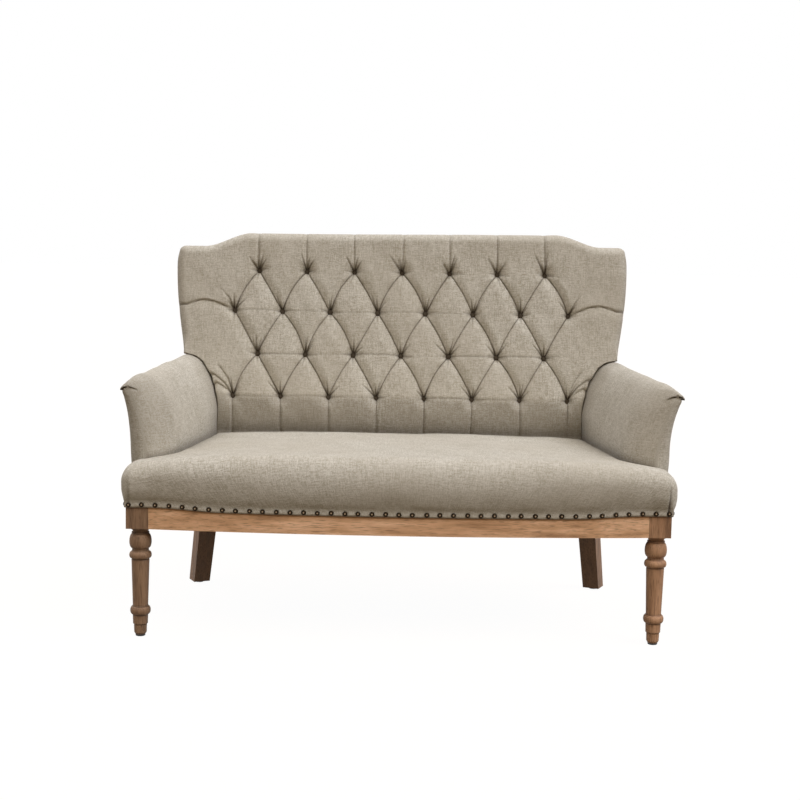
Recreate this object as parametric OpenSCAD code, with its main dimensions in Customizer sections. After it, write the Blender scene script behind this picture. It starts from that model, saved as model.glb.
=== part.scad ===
// Button-tufted settee with turned front legs, raked rear legs, a bowed show-wood rail and nailhead trim.
// Millimetres. Seen from the front, +X is to the right, +Y to the rear and +Z up, with the floor at Z = 0.
// Sizes are first laid out from the leg blocks' front faces, and at_middle() moves the whole to its origin.

/* [Overall] */
// Width over the outer faces of the two front leg blocks
frame_w = 1294; // [1200:2:1440]
// Width over the side rails at the rear of the seat frame
rear_w = 1168; // [1090:2:1300]
// Depth of the seat frame, from the leg blocks' front faces to the rear rail's rear face
frame_d = 584; // [540:2:680]
// Height of the top of the back
back_top = 972; // [900:2:1080]
// Height of the underside of the rails, which is the height of the turned legs
rail_z = 265; // [230:1:310]
// Height of the seat at its crown
seat_top = 448; // [430:2:490]
// Height of an arm's ridge near the front
arm_front_top = 624; // [580:2:680]
// Height of an arm's ridge where it meets the back
arm_rear_top = 644; // [610:2:700]
// Lean of the back from upright, in degrees
back_lean = 9.5; // [6:0.5:14]

/* [Rails and legs] */
// Height of the show-wood rails
rail_h = 66; // [56:1:80]
// Thickness of the rails
rail_t = 28; // [22:1:34]
// How far the front rail bows forward at its middle
rail_bow = 32; // [12:1:44]
// Side of the square block on top of a front leg
block_w = 60; // [54:1:72]
// How far the front rail is housed into a leg block
rail_housing = 7; // [4:0.5:12]
// Largest radius of the turned leg
turn_r = 27; // [22:0.5:27]
// Side of a rear leg's square section at the top
rear_leg_top_w = 50; // [40:1:54]
// Side of a rear leg's square section at the foot
rear_leg_foot_w = 45; // [34:1:54]
// How far a rear leg's foot stands outside its top
rear_leg_splay = 33; // [10:1:50]
// How far a rear leg's foot stands behind its top
rear_leg_rake = 60; // [20:1:80]
// Turn of the rear legs' faces towards the middle, in degrees
rear_leg_turn = 25; // [0:1:40]
// Height of a nail-on glide
glide_h = 4.5; // [3:0.5:8]
// Radius of a nail-on glide
glide_r = 11.7; // [9:0.1:12.4]

/* [Back] */
// Thickness of the back's wooden frame
back_frame_t = 30; // [24:1:38]
// Thickness of the tufting panel
panel_t = 5; // [4:0.5:9]
// Thickness of the foam slab behind the tufts
back_foam_t = 30; // [20:1:40]
// Thickness of the tufted pad at its crests
pad_t = 33; // [24:1:42]
// Width of the back at its shoulders
shoulder_w = 1232; // [1190:2:1330]
// Drop from the hump of the back to its shoulders
shoulder_drop = 37; // [15:1:60]
// Distance between buttons in a row
tuft_pitch = 130; // [112:1:140]
// Rise from the seat's crown to the lowest row of buttons
tuft_rise = 83; // [70:1:110]
// Drop from the top of the back to the highest row of buttons
tuft_drop = 103; // [90:1:150]
// Radius of a covered button
button_r = 8; // [6:0.5:11]
// Roll over the edge of the tufted pad
pad_roll = 26; // [14:1:32]

/* [Seat and arms] */
// Thickness of a cover with its lining
cover_t = 3; // [2:0.25:4]
// Roll over the seat's front edge
seat_roll = 46; // [30:1:56]
// How far the seat's border swells past the rail
seat_swell = 10; // [3:0.5:14]
// Thickness of an arm at its base
arm_t = 97; // [90:1:110]
// Depth of an arm's rounded front
arm_nose = 93; // [80:1:110]
// Thickness of the foam inside an arm
arm_foam_t = 20; // [14:1:22]

/* [Nailhead trim] */
// Radius of a nail's domed head
nail_r = 5.5; // [4:0.25:7]
// Height of the dome
nail_dome = 2.6; // [1.5:0.1:4]
// Number of nails along the front
front_nails = 41; // [31:2:51]
// Number of nails along each side
side_nails = 17; // [12:1:20]

/* [Hidden] */
$fn = 48;

// Clearances
gap = 0.3;              // between pieces that rest on each other
tuck_gap = 2.5;         // between two covers that are tucked against each other
wad_gap = 2;            // between a cover and its foam
bore_gap = 0.05;        // round a dowel, bolt or pin in its bore
over = 2;               // overrun of a cut past the face that it opens
reach = 2 * back_top;   // a cutting block's side, larger than the whole piece

// Small pieces
dowel_r = 5;
dowel_len = 50;
bolt_r = 4;
bolt_len = 60;
glide_edge = 1;
glide_stem_r = 1.5;
glide_stem_len = 12;
web_w = 50;
web_t = 2.5;
web_n_long = 9;
web_n_cross = 4;
brace_h = 30;
brace_lift = 2;         // height of the braces over the rails' undersides
corner_leg = 96;        // short side of a corner block
dust_t = 1.2;
dust_inset = 12;        // from a rail's outer face to the dust cover's edge
crest_h = 55;           // height of the crest rail
post_w = 58;
upright_w = 40;
upright_share = 1.75;   // an upright's distance from the middle, in button spacings
lower_rail_h = 55;
tuck_h = 45;            // opening under the lower back rail, for tucking the covers through
arm_set = 7;            // how far an arm's frame stands inside the side rail's outer face
arm_frame_t = 22;
arm_post_d = 40;
arm_rail_h = 28;
arm_slat_h = 40;
tie_r = 1.2;
toggle_r = 4;
toggle_h = 3;
button_seat = 2;        // thickness of the pad under a button
hem_lap = 21;           // how far the front cover laps down over the middle of the front rail
hem_lap_end = 14;       // the same at the legs and along the sides
nail_inset = 7;         // from a hem up to the middle of its nails
shoulder_turn = 12;     // how far the back comes in again above its widest place
shoulder_r = 18;        // round of the back's top corners
low_v = 25;             // how far the back's outline runs below the rails' top before it is cut

oak = "BurlyWood";
hidden_wood = "Wheat";
linen = "Tan";
foam_colour = "LightYellow";
strap_colour = "DimGray";
steel = "Silver";
bronze = "Sienna";
black = "Black";

// Seat frame in plan
rail_top = rail_z + rail_h;
half_w = frame_w / 2;
arm_out = cover_t + gap;                                  // from a rail's face to the skin of its cover
rail_half = half_w - block_w + rail_housing;              // half the visible length of the front rail
bow_r = (pow(rail_half, 2) + pow(rail_bow, 2)) / (2 * rail_bow);
bow_y = bow_r - rail_bow;                                 // centre of the bow's arc
side_run = frame_d - block_w;
side_fall = (frame_w - rear_w) / 2;                       // how far a side rail comes in over its run
side_angle = atan(side_fall / side_run);
rail_tx = rail_t / cos(side_angle);                       // a side rail's thickness along X
leg_x = half_w - block_w / 2;
leg_y = block_w / 2;
deck_z = rail_top + 3 * gap + 2 * web_t;                  // what the foam and the tucked covers rest on
function side_x(y) = half_w - side_fall * max(0, y - block_w) / side_run;
function front_y(x) = abs(x) < rail_half ? bow_y - sqrt(bow_r * bow_r - x * x) : 0;

// The back is drawn flat, x across, v up its lean and w towards the sitter from its frame's front face
lean_c = cos(back_lean);
lean_s = sin(back_lean);
back_y0 = frame_d - back_frame_t / lean_c;
foam_w = panel_t + back_foam_t;
crest_w = foam_w + pad_t;
back_v = (back_top - rail_top - foam_w * lean_s) / lean_c;
drop_v = shoulder_drop / lean_c;
shoulder_v = back_v - drop_v;
arm_v = (arm_rear_top + tuck_gap - rail_top) / lean_c;
button_w = foam_w + button_seat;
base_half = side_x(back_y0) + arm_out;
tuft_low = seat_top + tuft_rise;
tuft_high = back_top - tuft_drop;
function frame_y(z) = back_y0 + (z - rail_top) * tan(back_lean);
function crest_y(z) = frame_y(z) - crest_w / lean_c;
function v_of(z, w) = (z - rail_top - w * lean_s) / lean_c;
module back_place() {
    translate([0, back_y0, rail_top])
        rotate([90 - back_lean, 0, 0])
            children();
}

// The origin stands in the middle of the footprint
y_front = -rail_bow - arm_out - seat_swell;
y_rear = frame_y(back_top) + back_frame_t / lean_c + arm_out;
y_mid = (y_front + y_rear) / 2;
module at_middle() {
    translate([0, -y_mid, 0])
        children();
}
module at_left() {
    at_middle()
        mirror([1, 0, 0])
            children();
}
module both_sides() {
    children();
    mirror([1, 0, 0])
        children();
}

// Curves and closed skins
function lerp(a, b, t) = a + (b - a) * t;
function clamp01(t) = min(1, max(0, t));
function ease(t) = let (c = clamp01(t)) c * c * (3 - 2 * c);
function near(t) = abs(t - round(t));                     // distance to the nearest whole number
function fold(t) = (1 + cos(360 * near(t))) / 2;          // 1 on a whole number, 0 half way between
function flat(rows) = [for (r = rows, p = r) p];

// A smooth curve through points p, with steps new points in each stretch
function spline_at(p, i, t) =
    let (a = p[max(i - 1, 0)], b = p[i], c = p[i + 1], d = p[min(i + 2, len(p) - 1)])
    0.5 * (2 * b + (c - a) * t + (2 * a - 5 * b + 4 * c - d) * t * t + (3 * b - a - 3 * c + d) * t * t * t);
function spline(p, steps) = [
    for (i = [0 : len(p) - 2], s = [0 : steps - 1]) spline_at(p, i, s / steps),
    p[len(p) - 1]
];
// Outward normals of a closed outline that runs anticlockwise, and the outline moved inwards by c
function normals(loop) = [
    for (k = [0 : len(loop) - 1])
        let (n = len(loop), d = loop[(k + 1) % n] - loop[(k + n - 1) % n])
        [d[1], -d[0]] / norm(d)
];
function inset(loop, c) = let (out = normals(loop)) [for (k = [0 : len(loop) - 1]) loop[k] - c * out[k]];

// Triangles between the rows of a grid of n columns and m rows whose points are numbered from start
function grid_faces(n, m, start, flip) = [
    for (j = [0 : m - 2], i = [0 : n - 2])
        let (a = start + j * n + i, b = a + n, c = b + 1, d = a + 1, even = (i + j) % 2 == 0)
        for (f = even ? [[a, b, c], [a, c, d]] : [[a, b, d], [b, c, d]])
            flip ? [f[2], f[1], f[0]] : f
];
function rim_ids(n, m, start) = [
    for (i = [0 : n - 1]) start + i,
    for (j = [1 : m - 1]) start + j * n + n - 1,
    for (i = [n - 2 : -1 : 0]) start + (m - 1) * n + i,
    for (j = [m - 2 : -1 : 1]) start + j * n
];
function ring_ids(count, start) = [for (i = [0 : count - 1]) start + i];
// Triangles between two closed loops of point numbers
function band(a, b) = [
    for (k = [0 : len(a) - 1])
        let (l = (k + 1) % len(a))
        for (f = [[a[k], a[l], b[l]], [a[k], b[l], b[k]]]) f
];
function skin_loops(n, m, rings, start) = let (count = 2 * n + 2 * m - 4) [
    rim_ids(n, m, start),
    for (k = [0 : rings - 1]) ring_ids(count, start + n * m + k * count)
];
// A pad: a grid for its top, rings that roll over its edge, and a base closed to one middle point
module pad(rows, rings, base) {
    n = len(rows[0]);
    m = len(rows);
    last = len(rings);
    loops = skin_loops(n, m, last, 0);
    middle = n * m + len(rings[0]) * last;
    polyhedron(
        points = [each flat(rows), each flat(rings), base],
        faces = [
            each grid_faces(n, m, 0, false),
            for (k = [0 : last - 1]) each band(loops[k], loops[k + 1]),
            for (k = [0 : len(rings[0]) - 1])
                [loops[last][k], loops[last][(k + 1) % len(rings[0])], middle]
        ]
    );
}
// A cover: an outside and an inside of grid and rings each, joined at the hem
module cover(rows, rings, rows_in, rings_in) {
    n = len(rows[0]);
    m = len(rows);
    last = len(rings);
    start_in = n * m + len(rings[0]) * last;
    loops = skin_loops(n, m, last, 0);
    loops_in = skin_loops(n, m, last, start_in);
    polyhedron(
        points = [each flat(rows), each flat(rings), each flat(rows_in), each flat(rings_in)],
        faces = [
            each grid_faces(n, m, 0, false),
            each grid_faces(n, m, start_in, true),
            for (k = [0 : last - 1]) each band(loops[k], loops[k + 1]),
            for (k = [0 : last - 1]) each band(loops_in[k + 1], loops_in[k]),
            each band(loops[last], loops_in[last])
        ]
    );
}

// Turned front leg: shares of the largest radius and of the height under the rail
function bead(z0, z1, r0, r1, swell) = [
    for (a = [0 : 15 : 180])
        let (t = (1 - cos(a)) / 2)
        [lerp(r0, r1, t) + swell * sin(a), lerp(z0, z1, t)]
];
foot_shares = [[0.555, 0.035], [0.575, 0.104], [0.545, 0.107], [0.545, 0.112], [0.655, 0.115], [0.68, 0.195]];
shaft_shares = [[0.7, 0.281], [0.678, 0.285], [0.793, 0.704], [0.765, 0.709], [0.765, 0.715]];
neck_shares = [[0.745, 0.788], [0.735, 0.804]];
collar_shares = [[0.78, 0.946], [0.78, 0.956], [0.65, 0.958], [0.65, 0.965]];
leg_shares = [
    each foot_shares,
    each bead(0.2, 0.276, 0.69, 0.69, 0.215),
    each shaft_shares,
    each bead(0.718, 0.778, 0.83, 0.8, 0.17),
    each neck_shares,
    each bead(0.81, 0.944, 0.75, 0.7, 0.255),
    each collar_shares,
    for (a = [0 : 15 : 75]) [lerp(0.7, 1, 1 - cos(a)), lerp(0.967, 0.988, sin(a))],
    [1, 0.992],
    [1, 1],
    [0, 1]
];
foot_r = 0.445 * turn_r;
joint_zs = [rail_z + 0.27 * rail_h, rail_z + 0.73 * rail_h];

module front_dowels(r) {
    for (z = joint_zs)
        translate([rail_half - dowel_len / 2, rail_t / 2, z])
            rotate([0, 90, 0])
                cylinder(r = r, h = dowel_len);
}
module side_dowels(r) {
    for (z = joint_zs)
        translate([half_w - rail_tx / 2, block_w - dowel_len / 2, z])
            rotate([-90, 0, 0])
                cylinder(r = r, h = dowel_len);
}
module rear_dowels(r) {
    for (z = joint_zs)
        translate([side_x(frame_d - rail_t / 2) - rail_tx - dowel_len / 2, frame_d - rail_t / 2, z])
            rotate([0, 90, 0])
                cylinder(r = r, h = dowel_len - rail_t / 2);
}
module glide_stem(r) {
    translate([0, 0, glide_h / 2])
        cylinder(r = r, h = glide_h / 2 + glide_stem_len);
}
module front_leg() {
    color(oak)
        difference() {
            union() {
                translate([leg_x, leg_y, 0])
                    rotate_extrude()
                        polygon([[0, glide_h], [foot_r, glide_h],
                            for (p = leg_shares) [p[0] * turn_r, p[1] * rail_z]]);
                translate([half_w - block_w, 0, rail_z])
                    cube([block_w, block_w, rail_h]);
            }
            translate([half_w - block_w - over, -over, rail_z - over])
                cube([rail_housing + over, rail_t + gap + over, rail_h + 2 * over]);
            front_dowels(dowel_r + bore_gap);
            side_dowels(dowel_r + bore_gap);
            translate([leg_x, leg_y, 0])
                glide_stem(glide_stem_r + bore_gap);
        }
}
module front_leg_left() { at_left() front_leg(); }
module front_leg_right() { at_middle() front_leg(); }

// Rear leg: a square section that tapers and rakes to its foot
rear_top_x = side_x(frame_d) - rail_tx - 0.74 * rear_leg_top_w;
rear_top_y = frame_d - 0.72 * rear_leg_top_w;
rear_foot_x = rear_top_x + rear_leg_splay;
rear_foot_y = rear_top_y + rear_leg_rake;
bolt_x = rear_top_x - bolt_r;
bolt_y = frame_d - rail_t - 2 * bolt_r;
corner_signs = [[-1, -1], [1, -1], [1, 1], [-1, 1]];
function turned_square(x, y, w, z) = [
    for (s = corner_signs)
        [x + w / 2 * (s[0] * cos(rear_leg_turn) + s[1] * sin(rear_leg_turn)),
         y + w / 2 * (s[1] * cos(rear_leg_turn) - s[0] * sin(rear_leg_turn)), z]
];
module bolt(r) {
    translate([bolt_x, bolt_y, rail_z - bolt_len / 2])
        cylinder(r = r, h = bolt_len);
}
module rear_leg() {
    color(oak)
        difference() {
            polyhedron(
                points = [
                    each turned_square(rear_foot_x, rear_foot_y, rear_leg_foot_w, glide_h),
                    each turned_square(rear_top_x, rear_top_y, rear_leg_top_w, rail_z - gap)
                ],
                faces = [[0, 1, 2, 3], [7, 6, 5, 4],
                    for (i = [0 : 3]) let (j = (i + 1) % 4) [i, i + 4, j + 4, j]]
            );
            bolt(bolt_r + bore_gap);
            translate([rear_foot_x, rear_foot_y, 0])
                glide_stem(glide_stem_r + bore_gap);
        }
}
module rear_leg_left() { at_left() rear_leg(); }
module rear_leg_right() { at_middle() rear_leg(); }
module leg_bolts() {
    color(steel)
        at_middle()
            both_sides()
                bolt(bolt_r);
}
module leg_glides() {
    color(black)
        at_middle()
            both_sides()
                for (at = [[leg_x, leg_y], [rear_foot_x, rear_foot_y]])
                    translate([at[0], at[1], 0]) {
                        cylinder(r1 = glide_r - glide_edge, r2 = glide_r, h = glide_edge);
                        translate([0, 0, glide_edge])
                            cylinder(r = glide_r, h = glide_h - glide_edge - gap);
                        glide_stem(glide_stem_r);
                    }
}

// Seat frame
module front_rail() {
    color(oak)
        at_middle()
            difference() {
                intersection() {
                    difference() {
                        translate([0, bow_y, rail_z])
                            cylinder(r = bow_r, h = rail_h, $fn = 256);
                        translate([0, bow_y, rail_z - over])
                            cylinder(r = bow_r - rail_t, h = rail_h + 2 * over, $fn = 256);
                    }
                    translate([gap - rail_half, -rail_bow - over, rail_z])
                        cube([2 * rail_half - 2 * gap, rail_bow + rail_t + over, rail_h]);
                }
                both_sides()
                    front_dowels(dowel_r + bore_gap);
            }
}
module side_rail() {
    color(oak)
        difference() {
            translate([0, 0, rail_z])
                linear_extrude(rail_h)
                    polygon([
                        [half_w, block_w + gap],
                        [side_x(frame_d), frame_d],
                        [side_x(frame_d) - rail_tx, frame_d],
                        [half_w - rail_tx, block_w + gap]
                    ]);
            side_dowels(dowel_r + bore_gap);
            rear_dowels(dowel_r + bore_gap);
        }
}
module side_rail_left() { at_left() side_rail(); }
module side_rail_right() { at_middle() side_rail(); }
rear_inner_x = side_x(frame_d) - rail_tx - gap;
rear_front_x = side_x(frame_d - rail_t) - rail_tx - gap;
module rear_rail() {
    color(oak)
        at_middle()
            difference() {
                translate([0, 0, rail_z])
                    linear_extrude(rail_h)
                        polygon([
                            [-rear_front_x, frame_d - rail_t],
                            [rear_front_x, frame_d - rail_t],
                            [rear_inner_x, frame_d],
                            [-rear_inner_x, frame_d]
                        ]);
                both_sides()
                    rear_dowels(dowel_r + bore_gap);
            }
}
module rail_dowels() {
    color(hidden_wood)
        at_middle()
            both_sides() {
                front_dowels(dowel_r);
                side_dowels(dowel_r);
                rear_dowels(dowel_r);
            }
}
module corner_blocks() {
    block_x = half_w - block_w - gap;
    half_leg = corner_leg / 2;
    side_in = side_x(block_w + half_leg) - rail_tx - gap;
    rear_y = frame_d - rail_t - gap;
    color(hidden_wood)
        at_middle()
            both_sides()
                translate([0, 0, rail_z]) {
                    difference() {
                        linear_extrude(rail_h - gap)
                            polygon([
                                [side_x(rear_y - corner_leg) - rail_tx - gap, rear_y - corner_leg],
                                [rear_front_x, rear_y],
                                [rear_front_x - corner_leg, rear_y]
                            ]);
                        translate([0, 0, -rail_z])
                            bolt(bolt_r + bore_gap);
                    }
                    linear_extrude(rail_h - gap)
                        polygon([
                            [block_x, rail_t + 2 * gap],
                            [block_x, block_w + gap],
                            [side_in, block_w + gap],
                            [side_in, block_w + half_leg],
                            [block_x - half_leg, rail_t + 2 * gap]
                        ]);
                }
}
module seat_braces() {
    color(hidden_wood)
        at_middle()
            both_sides() {
                x = rear_w / 6;
                y = front_y(x + rail_t / 2) + rail_t + gap;
                translate([x - rail_t / 2, y, rail_z + brace_lift])
                    cube([rail_t, frame_d - rail_t - gap - y, brace_h]);
            }
}
module dust_cover() {
    notch = half_w - block_w - over;
    rear_notch = rear_top_x - rear_leg_top_w;
    rear_notch_y = rear_top_y - rear_leg_top_w;
    side_in = side_x(rear_notch_y) - dust_inset;
    color(black)
        at_middle()
            translate([0, 0, rail_z - gap - dust_t])
                linear_extrude(dust_t)
                    polygon([
                        for (k = [-8 : 8]) let (x = notch * k / 8) [x, front_y(x) + dust_inset],
                        [notch, block_w + over],
                        [half_w - dust_inset, block_w + over],
                        [side_in, rear_notch_y],
                        [rear_notch, rear_notch_y],
                        [rear_notch, frame_d - dust_inset],
                        [-rear_notch, frame_d - dust_inset],
                        [-rear_notch, rear_notch_y],
                        [-side_in, rear_notch_y],
                        [dust_inset - half_w, block_w + over],
                        [-notch, block_w + over]
                    ]);
}

// Seat suspension
module seat_webbing_long() {
    pitch = (rear_w - 2 * rail_tx - web_w) / web_n_long;
    color(strap_colour)
        at_middle()
            for (i = [0 : web_n_long - 1])
                let (x = (i - (web_n_long - 1) / 2) * pitch, y = front_y(abs(x) + web_w / 2) + rail_t / 4)
                    translate([x - web_w / 2, y, rail_top + gap])
                        cube([web_w, frame_d - rail_t / 4 - y, web_t]);
}
module seat_webbing_cross() {
    first_y = block_w + arm_nose + web_w / 2;
    last_y = frame_d - 2 * rail_t - web_w;
    color(strap_colour)
        at_middle()
            for (i = [0 : web_n_cross - 1])
                let (y = lerp(first_y, last_y, i / (web_n_cross - 1)), x = side_x(y + web_w / 2) - rail_t / 2)
                    translate([-x, y - web_w / 2, rail_top + 2 * gap + web_t])
                        cube([2 * x, web_w, web_t]);
}

// Arms: a section is swept from a rounded nose back to the frame of the back. Each point of the section
// holds its place across the arm and its height, as shares, first near the front and then at the rear.
nose_y = block_w + tuck_gap;
nose_end = nose_y + arm_nose;
arm_section_shares = [
    [0, 0, 0, 0], [0, 0.31, 0, 0.28], [-0.005, 0.52, 0, 0.48], [-0.05, 0.69, -0.01, 0.64],
    [-0.175, 0.815, -0.03, 0.8], [-0.255, 0.88, -0.05, 0.91], [-0.21, 0.93, -0.04, 0.955],
    [-0.08, 0.975, 0.02, 0.985], [0.08, 1, 0.13, 1], [0.31, 0.98, 0.34, 0.985], [0.53, 0.91, 0.56, 0.94],
    [0.74, 0.78, 0.83, 0.8],
    [0.88, 0.62, 0.98, 0.65], [0.96, 0.45, 1.03, 0.55], [0.99, 0.34, 1, 0.38], [1, 0, 1, 0]
];
arm_stretches = len(arm_section_shares) - 1;
tip_place = 5;                                            // the point at the arm's outer edge
inner_place = 10;                                         // the point across from it
arm_inner_front_shares = [
    for (i = [arm_stretches : -1 : 8]) [arm_section_shares[i][1], arm_section_shares[i][0]]
];
arm_inner_rear_shares = [
    for (i = [arm_stretches : -1 : 8]) [arm_section_shares[i][3], arm_section_shares[i][2]]
];

// The arm's inner skin at depth y and height z, and a value outside the back where there is no arm
function arm_in(y, z) =
    let (
        t = clamp01((y - nose_end) / (frame_y(z) - nose_end)),
        h = (z - rail_top) / (lerp(arm_front_top, arm_rear_top, t) - rail_top),
        u = lerp(lookup(h, arm_inner_front_shares), lookup(h, arm_inner_rear_shares), t)
    )
    h > 1 ? reach : side_x(y) + arm_out - arm_t * u;

// One section, squeezed by q towards its outer face as it nears the nose: c is the inset of the outer and
// inner skins, base the heights of the outer and inner hems
function arm_section(t, q, nose, c, base, steps) =
    let (
        ridge = lerp(arm_front_top, arm_rear_top, t),
        shares = spline(arm_section_shares, steps),
        raw = [for (s = shares) let (
            z = rail_top + (ridge - rail_top) * lerp(s[1], s[3], t),
            y = nose ? nose_end : lerp(nose_end, frame_y(z) - gap, t))
            [side_x(y) + arm_out - arm_t * lerp(s[0], s[2], t), z, y]],
        n = len(raw) - 1,
        moved = [for (i = [0 : n])
            let (
                d = raw[min(i + 1, n)] - raw[max(i - 1, 0)],
                out = i == 0 || i == n ? [sign(d[1]), 0] : [d[1], -d[0]] / norm([d[0], d[1]]),
                move = lerp(c[0], c[1], ease((i / steps - tip_place + 1) / 3)),
                z = i == 0 ? base[0] : i == n ? base[1] : raw[i][1] - move * out[1]
            )
            [raw[i][0] - move * out[0], z, raw[i][2]]],
        tip = moved[tip_place * steps]
    )
    [for (i = [0 : n])
        let (
            p = moved[i],
            ref = i <= tip_place * steps ? p[0] : i <= inner_place * steps ? tip[0] : moved[n - i][0],
            z = p[1] > tip[1] ? lerp(tip[1], p[1], sqrt(q)) : p[1]
        )
        [lerp(ref, p[0], i > tip_place * steps ? q : 1), p[2], z]];

arm_nose_rows = 6;
arm_rows = 3;
nose_start = 12;                                          // angle of the first section round the nose
function arm_grid(c, base, steps) = [
    for (k = [0 : arm_nose_rows - 1])
        let (
            a = lerp(nose_start, 90, k / (arm_nose_rows - 1)),
            y = nose_end - (arm_nose - c[1]) * cos(a),
            hems = k == 0 ? [max(base[0], rail_top + gap), base[1]] : base
        )
        [for (p = arm_section(0, sin(a), true, c, hems, steps))
            [p[0] + side_x(y) - side_x(nose_end), y, p[2]]],
    for (k = [1 : arm_rows]) arm_section(k / arm_rows, 1, false, c, base, steps)
];
function arm_rim(n, m, start) = [
    for (j = [0 : m - 1]) start + j * n,
    for (i = [1 : n - 1]) start + (m - 1) * n + i,
    for (j = [m - 2 : -1 : 0]) start + j * n + n - 1
];
function nose_cap(n, start, flip) = [
    for (i = [0 : floor(n / 2) - 1])
        let (a = start + i, b = start + i + 1, c = start + n - 2 - i, d = start + n - 1 - i)
        for (f = b < c ? [[a, d, c], [a, c, b]] : b == c ? [[a, d, c]] : [])
            flip ? [f[2], f[1], f[0]] : f
];
module arm_shell(c, c_in, base, steps) {
    outer = arm_grid(c, base, steps);
    inner = arm_grid(c_in, base, steps);
    n = len(outer[0]);
    m = len(outer);
    polyhedron(
        points = [each flat(outer), each flat(inner)],
        faces = [
            each grid_faces(n, m, 0, true),
            each nose_cap(n, 0, false),
            each grid_faces(n, m, n * m, false),
            each nose_cap(n, n * m, true),
            each band(arm_rim(n, m, 0), arm_rim(n, m, n * m))
        ]
    );
}
module arm_cover() {
    color(linen)
        arm_shell([0, 0], [cover_t, cover_t], [rail_top - hem_lap_end, deck_z + gap], 2);
}
module arm_foam() {
    skin = cover_t + wad_gap;
    color(foam_colour)
        arm_shell([skin, skin], [skin + cover_t, skin + arm_foam_t], [deck_z + gap, deck_z + gap], 1);
}
arm_post_y = nose_end - 1.3 * arm_post_d;                 // the post stands just behind the rounded front
function arm_plan(y0, y1) = [
    [side_x(y0) - arm_set, y0], [side_x(y1) - arm_set, y1],
    [side_x(y1) - arm_set - arm_frame_t, y1], [side_x(y0) - arm_set - arm_frame_t, y0]
];
arm_rail_z = rail_top + 0.73 * (arm_front_top - rail_top);
module arm_post() {
    color(hidden_wood)
        translate([0, 0, rail_top + gap])
            linear_extrude(arm_rail_z - arm_rail_h - 2 * gap - rail_top)
                polygon(arm_plan(arm_post_y, arm_post_y + arm_post_d));
}
module arm_rail() {
    color(hidden_wood)
        translate([0, 0, arm_rail_z - arm_rail_h])
            linear_extrude(arm_rail_h)
                polygon(arm_plan(arm_post_y, frame_y(arm_rail_z - arm_rail_h) - gap));
}
module arm_slat() {
    color(hidden_wood)
        translate([0, 0, deck_z + gap])
            linear_extrude(arm_slat_h)
                polygon(arm_plan(arm_post_y + arm_post_d + gap, frame_y(deck_z) - gap));
}
module arm_cover_left() { at_left() arm_cover(); }
module arm_cover_right() { at_middle() arm_cover(); }
module arm_foam_left() { at_left() arm_foam(); }
module arm_foam_right() { at_middle() arm_foam(); }
module arm_post_left() { at_left() arm_post(); }
module arm_post_right() { at_middle() arm_post(); }
module arm_rail_left() { at_left() arm_rail(); }
module arm_rail_right() { at_middle() arm_rail(); }
module arm_slat_left() { at_left() arm_slat(); }
module arm_slat_right() { at_middle() arm_slat(); }

// Seat: its outline runs round the bowed front, the two ears in front of the arms, the arms and the back.
// e is how much of the edge roll is still to come: 1 at the top's rim, 0 at the full outline.
bow_cols = 8;                                             // columns from the middle to where the bow ends
end_cols = 3;                                             // columns from there to the side
seat_cols = 2 * (bow_cols + end_cols) + 1;
bow_share = rail_half / (half_w + arm_out);
nose_seat_rows = 6;
rear_seat_rows = 3;
ear_row_shares = [0, 0.45, 0.93, 1];
tuck_roll = seat_roll / 3;
seat_corner_r = 28;
seat_sag_rear = 8;
seat_sag_side = 28;
ear_rows = len(ear_row_shares);
seat_row_count = ear_rows + nose_seat_rows + rear_seat_rows;
function seat_z(x, y) = seat_top
    - seat_sag_rear * pow(clamp01(y / frame_d), 2)
    - seat_sag_side * pow(abs(x) / half_w, 4);
function hem_z(x) = rail_top - lerp(hem_lap, hem_lap_end, ease((abs(x) / half_w - 0.64) / 0.26));
function ear_half(c, e, swell) = half_w + arm_out + swell - c - seat_roll * e;
// The front corners are square at the hem and round where the border swells
function corner_back(x, c, e, swell) =
    let (r = swell / seat_swell * seat_corner_r, past = abs(x) - ear_half(c, e, swell) + r)
    past > 0 ? r - sqrt(max(0, r * r - past * past)) : 0;
function ear_front(x, c, e, swell) =
    front_y(x) - arm_out - swell + c + seat_roll * e + corner_back(x, c, e, swell);
function tuck(c, e) = tuck_gap + c + tuck_roll * e;
function rear_limit(z, c, e) = crest_y(z) - tuck(c, e);
// Place of row j where it meets the side: [half width, y]. The ears come first, then the nose, then the arm.
function seat_side(j, c, e, swell) =
    let (t = tuck(c, e))
    j < ear_rows
    ? [ear_half(c, e, swell),
        lerp(ear_front(ear_half(c, e, swell), c, e, swell), nose_end - arm_nose - t, ear_row_shares[j])]
    : j < ear_rows + nose_seat_rows
    ? let (a = 90 * (j - ear_rows + 1) / nose_seat_rows, y = nose_end - (arm_nose + t) * cos(a))
        [min(side_x(y) + arm_out - (arm_t + t) * sin(a), ear_half(c, e, swell)), y]
    : let (
        s = (j - ear_rows - nose_seat_rows + 1) / rear_seat_rows,
        y = lerp(nose_end, rear_limit(seat_top - seat_roll, c, e), s))
        [side_x(y) + arm_out - arm_t - t, y];
function column_share(k) =
    let (n = abs(k))
    sign(k) * (n <= bow_cols ? bow_share * n / bow_cols : lerp(bow_share, 1, (n - bow_cols) / end_cols));
function seat_point(i, j, c, e, swell) =
    let (
        side = seat_side(j, c, e, swell),
        x = side[0] * column_share(i - bow_cols - end_cols)
    )
    [x, j < ear_rows ? lerp(ear_front(x, c, e, swell), side[1], ear_row_shares[j]) : side[1]];
function seat_rows(c) = [
    for (j = [0 : seat_row_count - 1])
        [for (i = [0 : seat_cols - 1])
            let (p = seat_point(i, j, c, 1, seat_swell), z = seat_z(p[0], p[1]) - c)
            [p[0], min(p[1], rear_limit(z, c, 1)), z]]
];
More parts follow.
